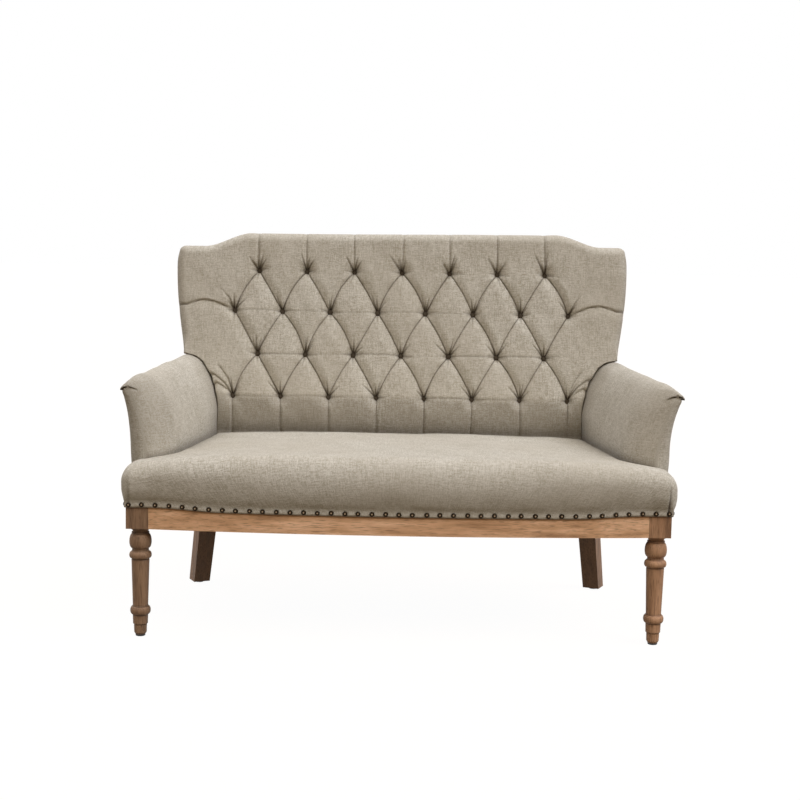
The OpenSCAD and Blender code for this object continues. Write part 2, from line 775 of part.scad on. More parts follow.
rim_places = [
    for (i = [0 : seat_cols - 1]) [i, 0],
    for (j = [1 : seat_row_count - 1]) [seat_cols - 1, j],
    for (i = [seat_cols - 2 : -1 : 0]) [i, seat_row_count - 1],
    for (j = [seat_row_count - 2 : -1 : 1]) [0, j]
];
function on_rail(j) = j < ear_rows - 1;                   // rows whose hem laps over the rails
// A ring at roll angle a, and a ring at the height of the hems lifted by up
function roll_ring(c, a) = [
    for (r = rim_places)
        let (
            e = 1 - sin(a),
            top = seat_point(r[0], r[1], c, 1, seat_swell),
            p = seat_point(r[0], r[1], c, e, seat_swell),
            roll = r[1] < ear_rows ? seat_roll : tuck_roll,
            z = seat_z(top[0], top[1]) - c - roll * (1 - cos(a))
        )
        [p[0], min(p[1], rear_limit(z, c, e)), z]
];
roll_angles = [40, 90];
function hem_ring(c, up, lift) = [
    for (r = rim_places)
        let (
            p = seat_point(r[0], r[1], c, 0, 0),
            z = (on_rail(r[1]) ? hem_z(p[0]) : deck_z + gap) + up
        )
        [p[0], min(p[1], rear_limit(z, c, 0)), max(z, lift)]
];
module seat_cover() {
    color(linen)
        at_middle()
            cover(
                seat_rows(0),
                [for (a = roll_angles) roll_ring(0, a), hem_ring(0, 2 * nail_inset, 0), hem_ring(0, 0, 0)],
                seat_rows(cover_t),
                [for (a = roll_angles) roll_ring(cover_t, a), hem_ring(cover_t, 2 * nail_inset, 0),
                    hem_ring(cover_t, 0, 0)]
            );
}
module seat_foam() {
    c = cover_t + wad_gap;
    color(foam_colour)
        at_middle()
            pad(
                seat_rows(c),
                [for (a = roll_angles) roll_ring(c, a), hem_ring(c, 0, deck_z + gap)],
                [0, frame_d / 2, deck_z + gap]
            );
}

// Back: its outline, which every layer is cut from
wide_share = 0.866;
wide_v = wide_share * back_v;                             // where the shoulders are widest
hump_shares = [0.67, 0.88];                               // where the hump starts and ends its fall
function back_half(v) =
    v < arm_v ? base_half
    : v < wide_v ? base_half + (shoulder_w / 2 - base_half) * sin(90 * (v - arm_v) / (wide_v - arm_v))
    : shoulder_w / 2 - shoulder_turn * pow((v - wide_v) / (shoulder_v - wide_v), 2);
function top_v(x) =
    let (s = abs(x) / (shoulder_w / 2))
    shoulder_v + drop_v * ease((hump_shares[1] - s) / (hump_shares[1] - hump_shares[0]));
corner_v = shoulder_v - shoulder_r;
corner_x = back_half(corner_v) - shoulder_r;
// The right half of an outline from its lowest place, given its side points, then round its top corner
function closed_outline(side) =
    let (
        right = [
            each side,
            for (a = [0 : 30 : 60]) [corner_x + shoulder_r * cos(a), corner_v + shoulder_r * sin(a)],
            for (k = [0 : 13]) let (x = corner_x * (1 - k / 14)) [x, top_v(x)]
        ],
        n = len(right)
    )
    [each right, [0, top_v(0)], for (k = [n - 1 : -1 : 0]) [-right[k][0], right[k][1]]];
back_outline = closed_outline([
    [base_half, -low_v],
    [base_half, 0],
    for (k = [0 : 11]) let (v = lerp(arm_v, corner_v, k / 12)) [back_half(v), v]
]);
// Half width of the padding at height v and depth w, between the arms and then over them
function pad_half(v, w) =
    let (
        z = rail_top + v * lean_c + w * lean_s,
        y = back_y0 + v * lean_s - w * lean_c
    )
    min(back_half(v), arm_in(y, z - tuck_gap) - tuck_gap);

row_shares = [0, 0.337, 0.678, 1];                        // places of the four rows of buttons
row_v = [for (s = row_shares) lerp(v_of(tuft_low, button_w), v_of(tuft_high, button_w), s)];
last_row = len(row_v) - 1;
pad_low_v = (deck_z - rail_top + tuck_gap) / lean_c;
sub_rows = 3;
function with_value(list, x) = [
    for (a = list) if (a < x - tuck_gap) a,
    x,
    for (a = list) if (a > x + tuck_gap) a
];
pad_vs = with_value([
    for (k = [0 : sub_rows - 1]) lerp(pad_low_v, row_v[0], k / sub_rows),
    for (r = [0 : last_row - 1], k = [0 : sub_rows - 1]) lerp(row_v[r], row_v[r + 1], k / sub_rows),
    row_v[last_row]
], arm_v);
slab_outline = closed_outline([
    for (v = pad_vs) [pad_half(v, 0), v]
]);

module back_shape(c) {
    polygon(inset(back_outline, c));
}
module under_crest(d) {
    polygon([
        [-reach, -reach], [reach, -reach],
        for (k = [12 : -1 : -12])
            let (x = shoulder_w * k / 24)
            [abs(k) == 12 ? sign(k) * reach : x, top_v(x) - d]
    ]);
}
module above(z) {
    translate([-reach / 2, 0, z])
        cube([reach, reach, reach]);
}
module frame_piece() {
    color(hidden_wood)
        back_place()
            translate([0, 0, -back_frame_t])
                linear_extrude(back_frame_t)
                    children();
}
module back_post() {
    intersection() {
        frame_piece()
            intersection() {
                back_shape(arm_out);
                under_crest(arm_out + crest_h + gap);
                translate([base_half - arm_out - post_w, -low_v])
                    square([2 * post_w, reach]);
            }
        above(rail_top + gap);
    }
}
module back_post_left() { at_left() back_post(); }
module back_post_right() { at_middle() back_post(); }
module crest_rail() {
    at_middle()
        frame_piece()
            difference() {
                back_shape(arm_out);
                under_crest(arm_out + crest_h);
            }
}
module back_lower_rail() {
    half = base_half - arm_out - post_w - gap;
    at_middle()
        frame_piece()
            translate([-half, tuck_h])
                square([2 * half, lower_rail_h]);
}
module back_uprights() {
    x = upright_share * tuft_pitch;                       // clear of the ties
    low = tuck_h + lower_rail_h + gap;
    at_middle()
        both_sides()
            frame_piece()
                translate([x - upright_w / 2, low])
                    square([upright_w, back_v - arm_out - crest_h - gap - low]);
}

// Buttons: whole numbers of half pitches, one row set half a pitch from the next
tuft_room = pad_half(row_v[0], foam_w) - pad_roll;
wide_n = 2 * floor(tuft_room / tuft_pitch + 0.5);         // buttons in the rows that start half a pitch out
last_x = (wide_n - 1) / 2 * tuft_pitch;
button_places = [
    for (r = [0 : last_row])
        let (n = wide_n - r % 2)
        for (k = [0 : n - 1]) [(k - (n - 1) / 2) * tuft_pitch, row_v[r]]
];
module at_buttons() {
    for (p = button_places)
        translate([p[0], p[1], 0])
            children();
}
module bored_slab(w, t) {
    at_middle()
        back_place()
            translate([0, 0, w])
                linear_extrude(t)
                    difference() {
                        polygon(inset(slab_outline, arm_out));
                        at_buttons()
                            circle(r = tie_r + bore_gap, $fn = 16);
                    }
}
module tufting_panel() {
    color(hidden_wood)
        bored_slab(gap, panel_t - gap);
}
module back_foam() {
    color(foam_colour)
        bored_slab(panel_t + gap, back_foam_t - 2 * gap);
}
module tuft_ties() {
    color(foam_colour)
        at_middle()
            back_place()
                at_buttons() {
                    translate([0, 0, -gap])
                        cylinder(r = tie_r, h = foam_w, $fn = 16);
                    translate([0, 0, -gap - toggle_h])
                        cylinder(r = toggle_r, h = toggle_h, $fn = 16);
                }
}
module tuft_buttons() {
    rim_z = 0.68 * button_r;
    crown = [for (a = [0 : 15 : 90]) [button_r * cos(a), rim_z + 0.45 * button_r * sin(a)]];
    color(linen)
        at_middle()
            back_place()
                at_buttons()
                    translate([0, 0, button_w + gap])
                        rotate_extrude()
                            polygon([[0, 0], each crown]);
}

// The tufted pad: folds run along whole numbers of s and t, and the buttons lie where both are whole
fold_share = 0.46;                                        // share of the pad's thickness taken by a fold
pleat_share = 0.42;                                       // the same for the pleats above and below the rows
dish_low_share = 0.25;                                    // how far a button's hollow reaches below the rows
dish_high_share = 0.5;                                    // the same above them, in spaces between rows
function row_place(v) =
    v < row_v[0] ? (v - row_v[0]) / (row_v[1] - row_v[0])
    : v > row_v[last_row] ? last_row + (v - row_v[last_row]) / (row_v[last_row] - row_v[last_row - 1])
    : lookup(v, [for (r = [0 : last_row]) [row_v[r], r]]);
function diamonds(x, b) =
    let (
        s = fold(x / tuft_pitch + 0.5 + b / 2),
        t = fold(x / tuft_pitch + 0.5 - b / 2),
        k = fold_share
    )
    1 - (1 - k * s) * (1 - k * t) + pow(k * s * t, 2) + (1 - 2 * k) * pow(s * t, 4);
function tuft_sink(x, v) =
    let (
        b = row_place(v),
        in_b = min(last_row, max(0, b)),
        zig = last_x - tuft_pitch * near(in_b / 2),
        inside = diamonds(sign(x) * min(abs(x), zig), in_b) * (1 - ease((abs(x) - zig) / (tuft_pitch / 2))),
        pleat = pleat_share * pow(fold(x / tuft_pitch + (b < 0 ? 0.5 : 0)), 3)
            * (abs(x) < last_x + tuft_pitch / 6 ? 1 : 0)
    )
    b < 0 ? max(pleat, inside * (1 - ease(-b / dish_low_share)))
    : b > last_row ? max(pleat, inside * (1 - ease((b - last_row) / dish_high_share)))
    : min(1, inside);
inner_cols = 3 * (wide_n - 1);                            // columns from the middle to the last button
edge_cols = 3;
top_rows = 3;
function pad_x(i, half) =
    let (k = abs(i))
    sign(i) * (k <= inner_cols ? k * tuft_pitch / 6 : lerp(last_x, half, (k - inner_cols) / edge_cols));
function pad_w(x, v) = foam_w + button_seat + (pad_t - button_seat) * (1 - tuft_sink(x, v));
all_cols = inner_cols + edge_cols;
pad_rows = [
    for (v = pad_vs)
        let (half = pad_half(v, foam_w) - pad_roll)
        [for (i = [-all_cols : all_cols]) let (x = pad_x(i, half)) [x, v, pad_w(x, v)]],
    for (k = [1 : top_rows])
        let (half = back_half(lerp(row_v[last_row], shoulder_v - pad_roll, k / top_rows)) - pad_roll)
        [for (i = [-all_cols : all_cols])
            let (x = pad_x(i, half), v = lerp(row_v[last_row], top_v(x) - pad_roll, k / top_rows))
            [x, v, pad_w(x, v)]]
];
module inside_back_cover() {
    n = len(pad_rows[0]);
    m = len(pad_rows);
    all = flat(pad_rows);
    rim = [for (id = rim_ids(n, m, 0)) all[id]];
    out = normals([for (p = rim) [p[0], p[1]]]);
    color(linen)
        at_middle()
            back_place()
                pad(
                    pad_rows,
                    [for (a = [45, 90])
                        [for (k = [0 : len(rim) - 1])
                            [rim[k][0] + pad_roll * sin(a) * out[k][0],
                                max(pad_low_v, rim[k][1] + pad_roll * sin(a) * out[k][1]),
                                lerp(foam_w, rim[k][2], cos(a))]]],
                    [0, back_v / 2, foam_w]
                );
}
module back_band(low, high, w0, w1) {
    back_place()
        translate([0, 0, w0])
            linear_extrude(w1 - w0)
                intersection() {
                    difference() {
                        back_shape(0);
                        back_shape(cover_t);
                    }
                    translate([-reach / 2, low])
                        square([reach, high - low]);
                }
}
module back_border() {
    color(linen)
        at_middle()
            intersection() {
                union() {
                    back_band(-low_v, arm_v, -back_frame_t, -gap);
                    back_band(arm_v, back_v + over, -back_frame_t, foam_w - gap);
                }
                above(rail_top - hem_lap_end);
            }
}
module outside_back_cover() {
    color(linen)
        at_middle() {
            intersection() {
                back_place()
                    translate([0, 0, -back_frame_t - gap - cover_t])
                        linear_extrude(cover_t)
                            back_shape(0);
                above(rail_top);
            }
            translate([-base_half, frame_d + gap / lean_c, rail_top - hem_lap_end])
                cube([2 * base_half, cover_t / lean_c, hem_lap_end]);
        }
}

// Nailhead trim along the hems
module nail() {
    rotate_extrude($fn = 16)
        polygon([[0, 0], [nail_r, 0], [0.87 * nail_r, 0.55 * nail_dome], [0.5 * nail_r, 0.88 * nail_dome],
            [0, nail_dome]]);
}
end_x = half_w - nail_inset;
module nail_trim_front() {
    color(bronze)
        at_middle()
            for (k = [0 : front_nails - 1])
                let (x = lerp(-end_x, end_x, k / (front_nails - 1)))
                    translate([x, front_y(x) - arm_out - gap, hem_z(x) + nail_inset])
                        rotate([90, 0, abs(x) < rail_half ? asin(x / bow_r) : 0])
                            nail();
}
module nail_trim_side() {
    color(bronze)
        for (k = [0 : side_nails - 1])
            let (y = lerp(nail_inset, back_y0 - nail_inset, k / (side_nails - 1)))
                translate([side_x(y) + arm_out + gap, y, rail_top - hem_lap_end + nail_inset])
                    rotate([0, 90, y > block_w ? side_angle : 0])
                        nail();
}
module nail_trim_left() { at_left() nail_trim_side(); }
module nail_trim_right() { at_middle() nail_trim_side(); }

front_leg_left();
front_leg_right();
rear_leg_left();
rear_leg_right();
leg_glides();
front_rail();
side_rail_left();
side_rail_right();
rear_rail();
corner_blocks();
seat_braces();
rail_dowels();
leg_bolts();
seat_webbing_long();
seat_webbing_cross();
seat_foam();
seat_cover();
back_post_left();
back_post_right();
crest_rail();
back_lower_rail();
back_uprights();
tufting_panel();
back_foam();
inside_back_cover();
tuft_buttons();
tuft_ties();
back_border();
outside_back_cover();
arm_post_left();
arm_post_right();
arm_rail_left();
arm_rail_right();
arm_slat_left();
arm_slat_right();
arm_foam_left();
arm_foam_right();
arm_cover_left();
arm_cover_right();
nail_trim_front();
nail_trim_left();
nail_trim_right();
dust_cover();
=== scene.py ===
"""Looks of a button-tufted settee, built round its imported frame.

Lengths are millimetres from the front faces of the leg blocks, until place() turns them into metres in
the row frame.
"""
import math
from collections import namedtuple

import bmesh
import bpy
import numpy as np
from mathutils import Matrix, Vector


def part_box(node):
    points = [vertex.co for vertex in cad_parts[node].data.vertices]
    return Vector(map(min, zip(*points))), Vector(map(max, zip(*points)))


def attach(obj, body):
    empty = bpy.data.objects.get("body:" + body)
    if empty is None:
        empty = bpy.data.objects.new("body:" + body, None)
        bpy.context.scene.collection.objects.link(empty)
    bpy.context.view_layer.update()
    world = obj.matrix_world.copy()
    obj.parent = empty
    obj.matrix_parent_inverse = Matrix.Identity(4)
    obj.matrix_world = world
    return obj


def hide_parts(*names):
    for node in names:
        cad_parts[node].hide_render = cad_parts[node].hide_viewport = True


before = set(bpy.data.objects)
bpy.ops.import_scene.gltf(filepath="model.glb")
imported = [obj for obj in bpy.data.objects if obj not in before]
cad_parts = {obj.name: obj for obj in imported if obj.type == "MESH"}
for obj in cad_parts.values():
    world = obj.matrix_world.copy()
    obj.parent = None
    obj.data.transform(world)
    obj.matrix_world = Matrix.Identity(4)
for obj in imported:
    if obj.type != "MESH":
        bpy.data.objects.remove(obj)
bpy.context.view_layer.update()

# Sizes of the settee
FRAME_W, REAR_W, FRAME_D = 1294.0, 1168.0, 584.0
BACK_TOP, SEAT_TOP = 972.0, 448.0
RAIL_Z, RAIL_H, RAIL_BOW, BLOCK_W, RAIL_HOUSING = 265.0, 66.0, 32.0, 60.0, 7.0
ARM_FRONT_TOP, ARM_REAR_TOP, ARM_T, ARM_NOSE = 624.0, 644.0, 97.0, 93.0
LEAN = math.radians(9.5)
BACK_FRAME_T, FOAM_W, PAD_T = 30.0, 35.0, 33.0
SHOULDER_W, SHOULDER_DROP, SHOULDER_R, SHOULDER_TURN = 1232.0, 37.0, 18.0, 12.0
PITCH, TUFT_LOW, TUFT_HIGH, BUTTON_R, BUTTON_SEAT, PAD_ROLL = 130.0, 531.0, 869.0, 8.0, 2.0, 26.0
GAP, COVER_T, TUCK_GAP = 0.3, 3.0, 2.5
SEAT_ROLL, SEAT_SWELL, SEAT_CORNER_R = 46.0, 10.0, 28.0
SEAT_FALL, SEAT_DROP = 8.0, 28.0  # how far its top falls to the rear, and drops to the sides
SEAT_FULL, SEAT_TUCK = 12.0, 20.0  # the front's swell over the nails, and the reach under the back's pad
SEAM_W, SEAM_GAP, SEAM_ROLL = 62.0, 0.7, 5.0  # where the back's cover meets the arms
HEM_LAP, HEM_LAP_END, NAIL_INSET = 21.0, 14.0, 7.0
HEM_RISE_FROM, HEM_RISE_RUN = 0.64, 0.26  # shares of the half width over which the hem rises
NAIL_R, NAIL_DOME, FRONT_NAILS, SIDE_NAILS = 6.2, 3.6, 41, 17

RAIL_TOP = RAIL_Z + RAIL_H
HALF_W = FRAME_W / 2
ARM_OUT = COVER_T + GAP
RAIL_HALF = HALF_W - BLOCK_W + RAIL_HOUSING
BOW_R = (RAIL_HALF ** 2 + RAIL_BOW ** 2) / (2 * RAIL_BOW)
BOW_Y = BOW_R - RAIL_BOW
SIDE_RUN = FRAME_D - BLOCK_W
SIDE_FALL = (FRAME_W - REAR_W) / 2
DECK_Z = RAIL_TOP + 3 * GAP + 5.0
LEAN_C, LEAN_S = math.cos(LEAN), math.sin(LEAN)
BACK_Y0 = FRAME_D - BACK_FRAME_T / LEAN_C
CREST_W = FOAM_W + PAD_T
BACK_V = (BACK_TOP - RAIL_TOP - FOAM_W * LEAN_S) / LEAN_C
DROP_V = SHOULDER_DROP / LEAN_C
SHOULDER_V = BACK_V - DROP_V
ARM_V = (ARM_REAR_TOP + TUCK_GAP - RAIL_TOP) / LEAN_C
BUTTON_W = FOAM_W + BUTTON_SEAT
NOSE_END = BLOCK_W + TUCK_GAP + ARM_NOSE
NAIL_PITCH = 2 * (HALF_W - NAIL_INSET) / (FRONT_NAILS - 1)
FAR = 5000.0
# the padding's fullness over the crest: how much, from where across it and over how far
CREST_FULL = ((9, -420, 900), (6, 380, 130))
CREST_FULL_LOW, CREST_FULL_RUN = 110, 60  # how far below the crest it starts, and its run
Y_MID = -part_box("front_leg_left")[0][1] * 1000


def place(points):
    """Layout millimetres to row-frame metres."""
    moved = np.array(points, float)
    moved[..., 1] -= Y_MID
    return moved / 1000


def lerp(a, b, t):
    return a + (b - a) * t


def limit(value):
    return np.clip(value, 0, 1)


def ramp(value, start, run):
    """0 at start and 1 at the end of its run, with soft ends."""
    c = limit((value - start) / run)
    return c * c * (3 - 2 * c)


def bell(value, width):
    return np.exp(-(value / width) ** 2)


def fading(far, reach):
    """1 up to a distance of 0, and less and less beyond it."""
    return np.exp(-np.maximum(0, far) / reach)


def round_off(past, r):
    """How far a rounding of radius r has fallen back, past its start."""
    return r - np.sqrt(np.maximum(0, r * r - past * past))


def joined(*parts):
    """Points from their coordinates."""
    return np.stack(np.broadcast_arrays(*parts), -1)


def unit(v):
    return v / np.maximum(np.linalg.norm(v, axis=-1, keepdims=True), 1e-6)


def run_along(points):
    """How far each point lies along its line, over the first axis."""
    steps = np.linalg.norm(np.diff(points, axis=0), axis=-1)
    return np.concatenate([np.zeros_like(steps[:1]), np.cumsum(steps, axis=0)])


def side_x(y):
    return HALF_W - SIDE_FALL * np.maximum(0, y - BLOCK_W) / SIDE_RUN


def front_y(x):
    bow = BOW_Y - np.sqrt(BOW_R ** 2 - np.minimum(x * x, BOW_R ** 2))
    return np.where(np.abs(x) < RAIL_HALF, bow, 0.0)


def frame_y(z):
    return BACK_Y0 + (z - RAIL_TOP) * math.tan(LEAN)


def crest_y(z):
    return frame_y(z) - CREST_W / LEAN_C


def hem_z(x):
    """The hem's height along the front, a little higher over the leg blocks."""
    return RAIL_TOP - lerp(HEM_LAP, HEM_LAP_END, ramp(np.abs(x) / HALF_W, HEM_RISE_FROM, HEM_RISE_RUN))


def seat_z(x, y):
    return SEAT_TOP - SEAT_FALL * limit(y / FRAME_D) ** 2 - SEAT_DROP * (np.abs(x) / HALF_W) ** 4


def v_of(z, w):
    return (z - RAIL_TOP - w * LEAN_S) / LEAN_C


def on_back(x, v, w):
    """A point of the leaning back: across, up its lean, and out towards the sitter.

    The padding over the crest is a little fuller towards the right.
    """
    x, v, w = np.broadcast_arrays(x, v, w)
    fuller = sum(full * ramp(x, start, run) for full, start, run in CREST_FULL)
    v = v + fuller * ramp(v, BACK_V - CREST_FULL_LOW, CREST_FULL_RUN)
    return joined(x, BACK_Y0 + v * LEAN_S - w * LEAN_C, RAIL_TOP + v * LEAN_C + w * LEAN_S)


def ripple(u, v, size, seed, waves=9):
    """Gentle unevenness of stretched cloth, about 1 high, from a few crossing waves."""
    draw = np.random.default_rng(seed)
    total = np.zeros(np.broadcast(u, v).shape)
    for _ in range(waves):
        angle, phase = draw.uniform(0, 2 * math.pi, 2)
        k = 2 * math.pi / (size * draw.uniform(0.7, 1.6))
        total += np.sin(k * (u * math.cos(angle) + v * math.sin(angle)) + phase)
    return total / math.sqrt(waves)


def uneven(u, v, ripples):
    """Ripples over each other, each with its height, its length and its seed."""
    return sum(high * ripple(u, v, size, seed) for high, size, seed in ripples)


# Meshes
def grid_quads(n, m, start=0):
    a = start + (np.arange(m - 1)[:, None] * n + np.arange(n - 1)[None, :]).ravel()
    return joined(a, a + 1, a + n + 1, a + n)


def rim_ids(n, m):
    """The points round the edge of a grid, anticlockwise from its first corner."""
    low = np.arange(n)
    right = np.arange(1, m) * n + n - 1
    high = (m - 1) * n + np.arange(n - 2, -1, -1)
    left = np.arange(m - 2, 0, -1) * n
    return np.concatenate([low, right, high, left])


def band(a, b, closed=True):
    """Squares between two lines of points."""
    quads = joined(a, np.roll(a, -1), np.roll(b, -1), b)
    return quads if closed else quads[:-1]


def fan(ring, centre):
    return joined(ring, np.roll(ring, -1), centre)


def skirt(rim, first, loops):
    """The bands that carry a rim over its loops of points, and the fan that closes the last loop."""
    count = len(rim)
    ids = [rim] + [first + k * count + np.arange(count) for k in range(loops)]
    return [band(a, b) for a, b in zip(ids, ids[1:])] + [fan(ids[-1], first + loops * count)]


def smooth_mesh(name, points, parts):
    """A smooth mesh from points in metres and parts that each list some faces."""
    mesh = bpy.data.meshes.new(name)
    mesh.from_pydata(points.tolist(), [], [face for part in parts for face in np.asarray(part).tolist()])
    mesh.polygons.foreach_set("use_smooth", [True] * len(mesh.polygons))
    return mesh


def put(name, data):
    """A new object in the scene."""
    item = bpy.data.objects.new(name, data)
    bpy.context.scene.collection.objects.link(item)
    return item


def fit(piece, replaced):
    """The piece rides on the frame and stands for the solids that it replaces."""
    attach(piece, "root")
    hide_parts(*replaced)


def add_cover(name, points, faces, replaced, cloth_uv, shade=None):
    """A closed piece of linen at its own place, with its faces outward."""
    mesh = smooth_mesh(name, place(points), faces)
    corner = np.empty(len(mesh.loops), np.int32)
    mesh.loops.foreach_get("vertex_index", corner)
    layer = mesh.uv_layers.new(name="cloth")
    layer.data.foreach_set("uv", (np.asarray(cloth_uv)[corner] / 1000).astype(np.float32).ravel())
    # painted shade: how far each point of the cloth darkens towards its shadow brown
    if shade is not None:
        shading = mesh.attributes.new("shade", "FLOAT", "POINT")
        shading.data.foreach_set("value", np.asarray(shade, np.float32))
    shape = bmesh.new()
    shape.from_mesh(mesh)
    bmesh.ops.recalc_face_normals(shape, faces=shape.faces)
    shape.to_mesh(mesh)
    shape.free()
    mesh.materials.append(LINEN)
    fit(put(name, mesh), replaced)


# Shader nodes
class Wire:
    """One node output that arithmetic can be written on."""

    def __init__(self, nodes, socket):
        self.nodes, self.socket = nodes, socket

    def math(self, operation, other):
        return self.nodes.add("Math", {"operation": operation}, {0: self, 1: other})

    def __add__(self, other):
        return self.math("ADD", other)

    def __mul__(self, other):
        return self.math("MULTIPLY", other)

    def __sub__(self, other):
        return self.math("SUBTRACT", other)

    def __rsub__(self, other):
        return self * -1.0 + other

    __radd__ = __add__
    __rmul__ = __mul__


class Nodes:
    """A shader tree whose nodes are added one call at a time."""

    def __init__(self, tree):
        self.tree = tree

    def add(self, kind, settings=None, values=None, out=0):
        node = self.tree.nodes.new("ShaderNode" + kind)
        for key, value in (settings or {}).items():
            if key == "stops":
                stops = node.color_ramp.elements
                while len(stops) < len(value):
                    stops.new(0.5)
                for stop, (at, colour) in zip(stops, value):
                    stop.position = at
                    stop.color = (*colour, 1) if hasattr(colour, "__len__") else (colour, colour, colour, 1)
            else:
                setattr(node, key, value)
        for key, value in (values or {}).items():
            self.feed(node.inputs[key], value)
        return Wire(self, node.outputs[out])

    def feed(self, socket, value):
        if isinstance(value, Wire):
            self.tree.links.new(value.socket, socket)
        else:
            socket.default_value = value

    def mix(self, share, a, b):
        a, b = [c if isinstance(c, Wire) else (*c, 1) for c in (a, b)]
        return self.add("Mix", {"data_type": "RGBA"}, {0: share, 6: a, 7: b}, out=2)


class Finish(Nodes):
    """A material of one surface."""

    def __init__(self, name, **constants):
        self.material = bpy.data.materials.new(name)
        self.material.use_nodes = True
        super().__init__(self.material.node_tree)
        self.shader = self.tree.nodes["Principled BSDF"]
        for socket, value in constants.items():
            self.shader.inputs[socket.replace("_", " ")].default_value = value

    def graded(self, value, *stops):
        return self.add("ValToRGB", {"stops": stops}, {0: value})

    def noise(self, vector, scale, detail=2.0, roughness=0.5):
        values = {"Vector": vector, "Scale": scale, "Detail": detail, "Roughness": roughness}
        return self.add("TexNoise", {}, values)

    def streaks(self, vector, scales, detail=2.0, roughness=0.5):
        """Noise drawn out along one axis."""
        return self.noise(self.scaled(vector, scales), 1.0, detail, roughness)

    def scaled(self, vector, scales):
        return self.add("Mapping", {}, {"Vector": vector, "Scale": scales})

    def finish(self, colour, bump, strength, distance, roughness=None):
        self.feed(self.shader.inputs["Base Color"], colour)
        if roughness is not None:
            self.feed(self.shader.inputs["Roughness"], roughness)
        normal = self.add("Bump", {}, {"Height": bump, "Strength": strength, "Distance": distance})
        self.feed(self.shader.inputs["Normal"], normal)
        return self.material


def linen(name, light, dark, earthy):
    """Plain-woven linen: threads both ways with thick and thin places, a mottle, and painted shade in
    creases.
    """
    f = Finish(name, Roughness=0.92, Sheen_Weight=0.08, Sheen_Roughness=0.5, Specular_IOR_Level=0.2)
    uv = f.add("UVMap", {"uv_map": "cloth"})
    weft = f.streaks(uv, (80, 400, 1), 2.0, 0.6)
    warp = f.streaks(uv, (370, 72, 1), 2.0, 0.6)
    slub_weft = f.streaks(uv, (26, 260, 1), 1.0)
    slub_warp = f.streaks(uv, (240, 24, 1), 1.0)
    speck = f.noise(uv, 380.0, 2.0, 0.7)
    mottle = f.noise(uv, 14.0, 3.0, 0.6)
    cloth = weft * 0.7 + warp * 0.65 + slub_weft * 0.3 + slub_warp * 0.3 + speck * 0.9 + mottle * 0.35 - 1.6
    share = f.add("Math", {"operation": "MULTIPLY_ADD", "use_clamp": True}, {0: cloth, 1: 2.7, 2: 0.5})
    patch = f.graded(f.noise(uv, 3.4), (0.38, 0.0), (0.66, 1.0))
    colour = f.mix(patch * 0.45, f.mix(share, dark, light), earthy)
    # painted shade: the shade attribute darkens the cloth towards a shadow brown in folds, tucks and crevices
    shade = f.add("Attribute", {"attribute_name": "shade"}, out=2)
    colour = f.mix(shade, colour, PAINTED_SHADE_BROWN)
    fine_weft = f.streaks(uv, (90, 900, 1), 2.0, 0.6)
    fine_warp = f.streaks(uv, (820, 80, 1), 2.0, 0.6)
    height = weft * 0.6 + warp * 0.5 + fine_weft * 0.35 + fine_warp * 0.3 + speck * 0.3
    return f.finish(colour, height, strength=0.5, distance=0.0012)


def oak(name, pale, mid, dark, along, grooves=()):
    """Limed oak: long grain along one axis, open pores, and darker bands at the turned grooves."""
    f = Finish(name, Specular_IOR_Level=0.35)
    at = f.add("TexCoord", out=3)

    def lines(with_grain, across, detail=2.0, roughness=0.5):
        return f.streaks(at, [with_grain if axis == along else across for axis in "XYZ"], detail, roughness)

    grain = lines(9.0, 75.0, 5.0, 0.62)
    pores = lines(30.0, 480.0)
    flow = lines(2.2, 22.0)
    colour = f.graded(grain * 0.65 + flow * 0.35, (0.34, dark), (0.49, mid), (0.64, pale))
    pore = f.graded(pores, (0.34, 1.0), (0.46, 0.0))
    colour = f.mix(pore * 0.55, colour, [0.55 * c for c in dark])
    if grooves:
        height = f.add("SeparateXYZ", {}, {0: at}, out=2)
        stops = [((z + step * reach) / RAIL_TOP, 1.0 - abs(step))
                 for z, reach in grooves for step in (-1, 0, 1)]
        shade = f.graded(height * (1000 / RAIL_TOP), *stops)
        colour = f.mix(shade * 0.6, colour, [0.4 * c for c in dark])
    return f.finish(colour, pores * 0.5 + grain, strength=0.25, distance=0.0008, roughness=grain * 0.25 + 0.5)


def plain(name, colour, speckle, scale=120.0, stretch=(1, 1, 1), share=0.5, bump=0.2, **constants):
    """A finish of one colour with a second one speckled through it."""
    f = Finish(name, **constants)
    fleck = f.noise(f.scaled(f.add("TexCoord", out=3), stretch), scale, 3.0, 0.6)
    spread = f.graded(fleck, (0.4, 0.0), (0.65, 1.0))
    return f.finish(f.mix(spread * share, colour, speckle), fleck, strength=bump, distance=0.0006)


def bronze_with_painted_highlight(name, brown, black, rubbed):
    """Antique nail heads, nearly black, with a highlight painted on the tops of their domes."""
    f = Finish(name, Metallic=1.0, Roughness=0.28)
    fleck = f.noise(f.add("TexCoord", out=3), 420.0, 3.0, 0.6)
    height = f.add("Attribute", {"attribute_name": "rubbed"}, out=2)
    # a highlight painted on the top of each dome
    highlight_mask = f.graded(height, (0.92, 0.0), (1.0, 1.0))
    return f.finish(f.mix(highlight_mask, f.mix(fleck, brown, black), rubbed), fleck, strength=0.2, distance=0.0006)
